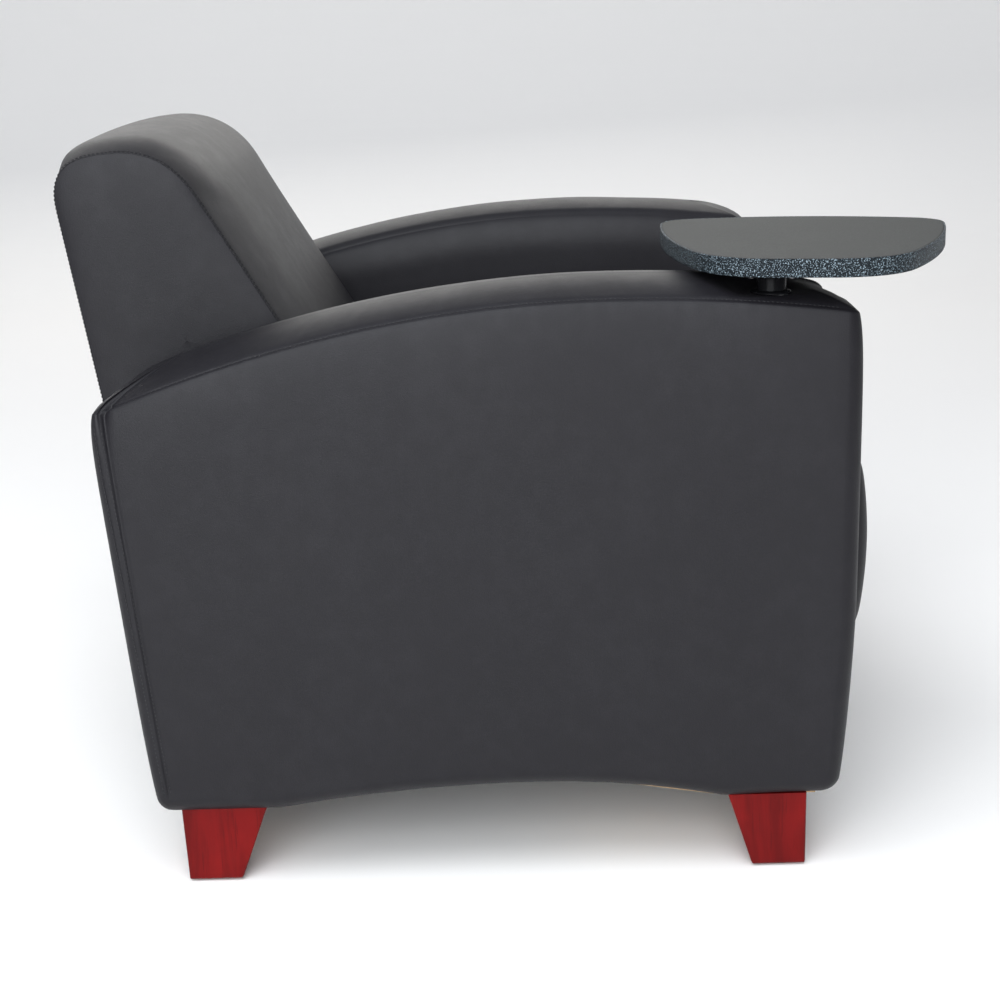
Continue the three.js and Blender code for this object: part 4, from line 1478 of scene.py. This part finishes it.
BAND_WALL = 0.0019
BOARD_GAP = 0.0002
BOARD_SHARES = (0.03, 0.35, 0.7, 0.93)
BOARD_LIP = 0.0009


def build_tablet(tablet):
    """The laminate board and the band around its edge, whose pale flecks are painted glints."""
    low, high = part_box("tablet_board")
    z0, z1 = low.z, high.z
    outline = tablet_outline()
    normal = outward_2d(outline)
    heart = outline.mean(0)

    def ring(inset, z):
        return on_tablet(raised(outline - normal * inset, z))

    def inner(part, z, inset):
        return on_tablet(raised(heart + (outline - normal * inset - heart) * part, z))

    # Edge band: out at the bottom, up the face, over its rounded lip and back down inside.
    section = [(BAND_WALL, z0), (0.0010, z0), (0.0003, z0 + 0.0003), (0.0, z0 + 0.0010)]
    section += [(0.0, z) for z in np.linspace(z0 + 0.003, z1 - 0.003, 6)]
    section += [(0.0, z1 - 0.0012), (0.00025, z1 - 0.0005), (0.0008, z1 - 0.0001), (0.0013, z1),
                (BAND_WALL, z1 - 0.0002)]
    band = make_mesh("tablet_band_with_painted_glints", *looped([ring(inset, z) for inset, z in section]))
    set_down(band, "speckled_band", "tablet", ["tablet_edge_band"])

    seat = BAND_WALL + BOARD_GAP
    rings = [inner(part, z0, seat) for part in BOARD_SHARES]
    rings += [ring(seat + 0.0006, z0), ring(seat, z0 + 0.0006), ring(seat, z1 - BOARD_LIP)]
    for turn in np.linspace(0, math.pi / 2, 5):
        height = z1 - BOARD_LIP + BOARD_LIP * math.sin(turn)
        rings.append(ring(seat + tablet.edge * (1 - math.cos(turn)), height))
    rings += [inner(part, z1, seat + tablet.edge) for part in (0.985, *reversed(BOARD_SHARES))]
    ends = on_tablet([[*heart, z0], [*heart, z1]])
    board = make_mesh("tablet_laminate_board", *capped(rings, *ends))
    board.data.set_sharp_from_angle(angle=math.radians(40))
    set_down(board, "laminate", "tablet", ["tablet_board"])


PLATE_HALF = 0.030
PLATE_ROUND = 0.007


def build_plate():
    """Steel plate under the tablet, with rounded corners."""
    low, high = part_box("tablet_plate")
    z0, z1 = low.z, high.z
    square = ((-1, -1), (1, -1), (1, 1), (-1, 1))
    outline = rounded_outline([(PLATE_HALF * x, PLATE_HALF * y, PLATE_ROUND) for x, y in square], 0.002)
    normal = outward_2d(outline)
    rings = []
    for inset, z in ((0.029, z0), (0.02, z0), (0.0008, z0), (0.0002, z0 + 0.0002), (0.0, z0 + 0.0007),
                     (0.0, z1 - 0.0002), (0.0002, z1), (0.02, z1), (0.029, z1)):
        if inset > 0.005:
            flat = outline * (PLATE_HALF - inset) / PLATE_HALF
        else:
            flat = outline - normal * inset
        rings.append(on_tablet(raised(flat, z)))
    ends = on_tablet([[0, 0, z0], [0, 0, z1]])
    made = make_mesh("tablet_steel_plate", *capped(rings, *ends))
    set_down(made, "black_steel", "tablet", ["tablet_plate"])


SCREW_SIDES = 48


def build_screw(number):
    """Domed screw head with a cross recess, on a plain shank."""
    low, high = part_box(f"tablet_screw_{number}")
    centre = box_centre(f"tablet_screw_{number}")
    head, shank, head_top = 0.0036, 0.0019, low.z + 0.0016
    turn = np.arange(SCREW_SIDES) / SCREW_SIDES * 2 * math.pi
    cross = np.abs(np.cos(2 * turn)) ** 6
    rings = []
    for radius, sink in ((0.0004, 0.0009), (0.0009, 0.0008), (0.0016, 0.0005), (0.0020, 0.0001)):
        rings.append(circle(centre, radius, low.z + 0.00002 + sink * cross, SCREW_SIDES))
    profile = [(0.0026, low.z + 0.0001), (0.0032, low.z + 0.0004), (head, low.z + 0.0011), (head, head_top),
               (shank, head_top), (shank, high.z - 0.0015), (0.0008, high.z), (0.0002, high.z)]
    rings += [circle(centre, radius, z, SCREW_SIDES) for radius, z in profile]
    body = capped(rings, [*centre, low.z + 0.0009], [*centre, high.z])
    made = make_mesh(f"tablet_wood_screw_{number}", *body)
    set_down(made, "zinc_steel", "tablet", [f"tablet_screw_{number}"])


def build_swivel():
    """The gloss post that carries the tablet, and the stepped flange around its foot."""
    low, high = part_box("swivel_post")
    radius = (high.x - low.x) / 2
    profile = [(radius - 0.0012, low.z), (radius - 0.0003, low.z + 0.0003), (radius, low.z + 0.0012),
               (radius, low.z + 0.02), (radius, low.z + 0.05), (radius, high.z - 0.0010),
               (radius - 0.0003, high.z - 0.0003), (radius - 0.0010, high.z)]
    post = turned_piece("swivel_gloss_post", profile, PIVOT, 96)
    set_down(post, "black_steel", "tablet", ["swivel_post"])
    low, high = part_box("swivel_flange")
    outer = (high.x - low.x) / 2
    inner = radius + 0.0004
    section = [(inner, low.z), (outer - 0.0004, low.z), (outer, low.z + 0.0004), (outer, low.z + 0.0012),
               (outer - 0.0004, low.z + 0.0017), (outer - 0.0020, low.z + 0.0021),
               (inner + 0.0016, high.z - 0.0004), (inner + 0.0009, high.z), (inner + 0.0002, high.z - 0.0002)]
    flange = ring_piece("swivel_gloss_flange", section, PIVOT, 96)
    set_down(flange, "black_steel", "chair", ["swivel_flange"])


class LOUNGE_OT_tablet(bpy.types.Operator):
    """Writing tablet with its edge band, whose flecks are painted glints, and its plate and screws"""

    bl_idname = "lounge_chair.tablet"
    bl_label = "Tablet"

    def execute(self, context):
        build_tablet(context.scene.chair_tablet)
        build_plate()
        for number in range(1, 5):
            build_screw(number)
        return {"FINISHED"}


class LOUNGE_OT_swivel(bpy.types.Operator):
    """Gloss post that carries the tablet, and the flange around it"""

    bl_idname = "lounge_chair.swivel"
    bl_label = "Swivel"

    def execute(self, context):
        build_swivel()
        return {"FINISHED"}


# ---- Underside and hidden frame ---------------------------------------------------------------------


CLOTH_SAG = 0.006
CLOTH_THICKNESS = 0.0009
STAPLE_LONG, STAPLE_WIDE = 0.0055, 0.0006


def build_dust_cover():
    """Thin cloth under the seat that sags a little between its staples."""
    low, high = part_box("dust_cover")
    across, along = 60, 76
    xs = np.linspace(low.x + 0.001, high.x - 0.001, across) - ORIGIN[0]
    ys = np.linspace(low.y + 0.001, high.y - 0.001, along) - ORIGIN[1]
    gx, gy = np.meshgrid(xs, ys, indexing="ij")
    u = (gx - xs[0]) / (xs[-1] - xs[0])
    v = (gy - ys[0]) / (ys[-1] - ys[0])
    belly = 16 * u * (1 - u) * v * (1 - v)
    base = low.z - CLOTH_SAG * belly**0.5 + ripple(gx, gy, 0.07, 41) * 0.0008 * belly**0.3
    points = np.concatenate([
        np.column_stack([gx.ravel(), gy.ravel(), layer.ravel()]) for layer in (base, base + CLOTH_THICKNESS)
    ])
    faces = []
    size = across * along
    for i in range(across - 1):
        for j in range(along - 1):
            a, b = i * along + j, (i + 1) * along + j
            c, d = b + 1, a + 1
            faces += [(a, b, c, d), (size + a, size + d, size + c, size + b)]
    rim = [i * along for i in range(across)] + [(across - 1) * along + j for j in range(1, along)]
    rim += [i * along + along - 1 for i in range(across - 2, -1, -1)] + [j for j in range(along - 2, 0, -1)]
    for k, a in enumerate(rim):
        b = rim[(k + 1) % len(rim)]
        faces.append((a, b, size + b, size + a))
    made = make_mesh("underside_dust_cloth", points, faces)
    set_down(made, "dust_fabric", "chair", ["dust_cover"])


def build_staples():
    """Staples that hold the dust cloth around its edge."""
    low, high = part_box("dust_cover")
    x0, x1 = low.x + 0.010 - ORIGIN[0], high.x - 0.010 - ORIGIN[0]
    y0, y1 = low.y + 0.012 - ORIGIN[1], high.y - 0.012 - ORIGIN[1]
    z = low.z - 0.0016
    spots = []
    for x in np.linspace(x0, x1, 12):
        spots += [(x, y0, 0), (x, y1, 0)]
    for y in np.linspace(y0, y1, 14)[1:-1]:
        spots += [(x0, y, 1), (x1, y, 1)]
    points, faces = [], []
    for x, y, turn in spots:
        dx, dy = (STAPLE_WIDE, STAPLE_LONG) if turn else (STAPLE_LONG, STAPLE_WIDE)
        base = len(points)
        for level in (z - 0.0002, z + 0.0016):
            points += [(x + dx * i, y + dy * j, level) for i, j in ((-1, -1), (1, -1), (1, 1), (-1, 1))]
        faces += [(base, base + 1, base + 2, base + 3), (base + 4, base + 7, base + 6, base + 5)]
        faces += [(base + i, base + 4 + i, base + 4 + (i + 1) % 4, base + (i + 1) % 4) for i in range(4)]
    made = make_mesh("underside_staples", points, faces, smooth=False)
    set_down(made, "zinc_steel", "chair")


class LOUNGE_OT_underside(bpy.types.Operator):
    """Dust cloth and its staples"""

    bl_idname = "lounge_chair.underside"
    bl_label = "Underside"

    def execute(self, context):
        build_dust_cover()
        build_staples()
        return {"FINISHED"}


class LOUNGE_OT_hidden_frame(bpy.types.Operator):
    """Materials of the boards, rails, springs and fittings inside the chair"""

    bl_idname = "lounge_chair.hidden_frame"
    bl_label = "Hidden Frame"

    def execute(self, context):
        slots = {row["node"]: row["material_slot"] for row in frame["record"]["subparts"]}
        for name, node in frame["nodes"].items():
            if node.hide_render:
                continue
            node.data.materials.clear()
            node.data.materials.append(finish_for(slots[name]))
        return {"FINISHED"}


# ---- Stage ------------------------------------------------------------------------------------------


def area_light(name, place, target, size, watts, tone):
    """A rectangular soft light that faces a target."""
    light = bpy.data.lights.new(name, "AREA")
    light.shape = "RECTANGLE"
    light.size, light.size_y = size
    light.energy = watts
    light.color = tone
    made = bpy.data.objects.new(name, light)
    bpy.context.scene.collection.objects.link(made)
    made.location = place
    made.rotation_mode = "QUATERNION"
    made.rotation_quaternion = (Vector(target) - Vector(place)).to_track_quat("-Z", "Y")


def build_camera(studio):
    """A camera at its place, turned by its yaw, pitch and roll."""
    yaw, pitch, roll = studio.yaw, studio.pitch, studio.roll
    forward = Vector((math.cos(yaw) * math.cos(pitch), math.sin(yaw) * math.cos(pitch), -math.sin(pitch)))
    right = forward.cross(Vector((0, 0, 1))).normalized()
    up = right.cross(forward)
    c, s = math.cos(roll), math.sin(roll)
    right, up = right * c + up * s, up * c - right * s
    lens = bpy.data.cameras.new("camera")
    lens.lens = studio.lens * 1000
    lens.sensor_width = 36.0
    lens.clip_end = 100.0
    made = bpy.data.objects.new("camera", lens)
    bpy.context.scene.collection.objects.link(made)
    turn = Matrix((right, up, -forward)).transposed().to_4x4()
    made.matrix_world = Matrix.Translation(Vector(studio.camera) + Vector(ORIGIN)) @ turn
    bpy.context.scene.camera = made


FLOOR_REACH = 400.0
SWEEP_START = 3.4
SWEEP_ROUND = 2.6
SWEEP_STEPS = 64
WALL_TOP = 9.0


def build_floor():
    """Plain floor that sweeps up into a plain wall beyond the chair."""
    turn = np.linspace(0, math.pi / 2, SWEEP_STEPS)
    profile = [(-FLOOR_REACH, 0.0)]
    profile += [(SWEEP_START + SWEEP_ROUND * math.sin(a), SWEEP_ROUND * (1 - math.cos(a))) for a in turn]
    profile.append((SWEEP_START + SWEEP_ROUND, WALL_TOP))
    points = [(x, y, z) for x, z in profile for y in (-FLOOR_REACH, FLOOR_REACH)]
    faces = [(2 * i, 2 * i + 2, 2 * i + 3, 2 * i + 1) for i in range(len(profile) - 1)]
    made = make_mesh("studio_floor", points, faces, smooth=False)
    made.data.materials.append(finish_for("floor"))


# Tones of the sky from the horizon (0) to straight up (1), and how much of it is lost in front and behind.
SKY_TONES = ((0.0, (1.0, 1.0, 1.0)), (0.06, (1.0, 0.995, 0.98)), (0.42, (0.70, 0.72, 0.77)),
             (1.0, (0.66, 0.69, 0.77)))
SKY_FALL = 0.80
WARM, COOL = (1.0, 0.975, 0.93), (0.93, 0.965, 1.0)


def build_sky(studio):
    """Even light that is white at the horizon and a dimmer, cooler grey overhead."""
    world = bpy.data.worlds.new("even_light")
    bpy.context.scene.world = world
    world.use_nodes = True
    tree = world.node_tree
    place = tree.nodes.new("ShaderNodeTexCoord")
    split = tree.nodes.new("ShaderNodeSeparateXYZ")
    ramp = tree.nodes.new("ShaderNodeValToRGB")
    Finish.stops(ramp.color_ramp, SKY_TONES)
    tree.links.new(place.outputs["Generated"], split.inputs[0])
    tree.links.new(split.outputs["Z"], ramp.inputs[0])
    ground = tree.nodes["Background"]
    tree.links.new(ramp.outputs[0], ground.inputs["Color"])
    # The light is weaker from the front and from behind than from the sides.
    aside = tree.nodes.new("ShaderNodeMath")
    aside.operation = "ABSOLUTE"
    tree.links.new(split.outputs["Y"], aside.inputs[0])
    weaker = tree.nodes.new("ShaderNodeMath")
    weaker.operation = "MULTIPLY_ADD"
    weaker.inputs[1].default_value = -SKY_FALL * studio.sky
    weaker.inputs[2].default_value = studio.sky
    tree.links.new(aside.outputs[0], weaker.inputs[0])
    tree.links.new(weaker.outputs[0], ground.inputs["Strength"])


def build_lights(studio):
    """The sky and three soft boxes: behind, above and beside the camera."""
    build_sky(studio)
    area_light("rim_softbox", (4.2, 0.5, 2.1), (0.0, 0.1, 0.6), (4.0, 1.6), studio.beyond, WARM)
    area_light("upper_softbox", (-1.7, 0.6, 3.4), (-0.1, 0.1, 0.6), (3.4, 2.4), studio.above, COOL)
    area_light("near_softbox", (-4.0, 0.8, 1.85), (-0.2, 0.2, 0.75), (3.6, 3.0), studio.near, COOL)


class LOUNGE_OT_stage(bpy.types.Operator):
    """Camera, floor and soft studio light"""

    bl_idname = "lounge_chair.stage"
    bl_label = "Stage"

    def execute(self, context):
        studio = context.scene.chair_studio
        build_camera(studio)
        build_floor()
        build_lights(studio)
        context.scene.view_settings.view_transform = "Standard"
        return {"FINISHED"}


# ---- Panel and registration -------------------------------------------------------------------------

SETTINGS = {
    "chair_leather": LeatherSettings,
    "chair_arm": ArmSettings,
    "chair_cushion": CushionSettings,
    "chair_wood": WoodSettings,
    "chair_tablet": TabletSettings,
    "chair_studio": StudioSettings,
}
OPERATORS = (
    LOUNGE_OT_arms,
    LOUNGE_OT_back,
    LOUNGE_OT_seat,
    LOUNGE_OT_feet,
    LOUNGE_OT_tablet,
    LOUNGE_OT_swivel,
    LOUNGE_OT_underside,
    LOUNGE_OT_hidden_frame,
    LOUNGE_OT_stage,
)


class LOUNGE_PT_panel(bpy.types.Panel):
    """Lists the pieces and their settings"""

    bl_idname = "LOUNGE_PT_panel"
    bl_label = "Lounge Chair"
    bl_space_type = "VIEW_3D"
    bl_region_type = "UI"
    bl_category = "Lounge Chair"

    def draw(self, context):
        for operator in OPERATORS:
            self.layout.operator(operator.bl_idname)
        for name, group in SETTINGS.items():
            box = self.layout.box()
            box.label(text=group.__doc__)
            for prop in group.__annotations__:
                box.prop(getattr(context.scene, name), prop)


def register():
    for group in SETTINGS.values():
        bpy.utils.register_class(group)
    for name, group in SETTINGS.items():
        setattr(bpy.types.Scene, name, PointerProperty(type=group))
    for item in (*OPERATORS, LOUNGE_PT_panel):
        bpy.utils.register_class(item)


def unregister():
    for item in (LOUNGE_PT_panel, *reversed(OPERATORS)):
        bpy.utils.unregister_class(item)
    for name, group in reversed(SETTINGS.items()):
        delattr(bpy.types.Scene, name)
        bpy.utils.unregister_class(group)


def main():
    register()
    for operator in OPERATORS:
        category, name = operator.bl_idname.split(".")
        getattr(getattr(bpy.ops, category), name)()


if __name__ == "__main__":
    main()
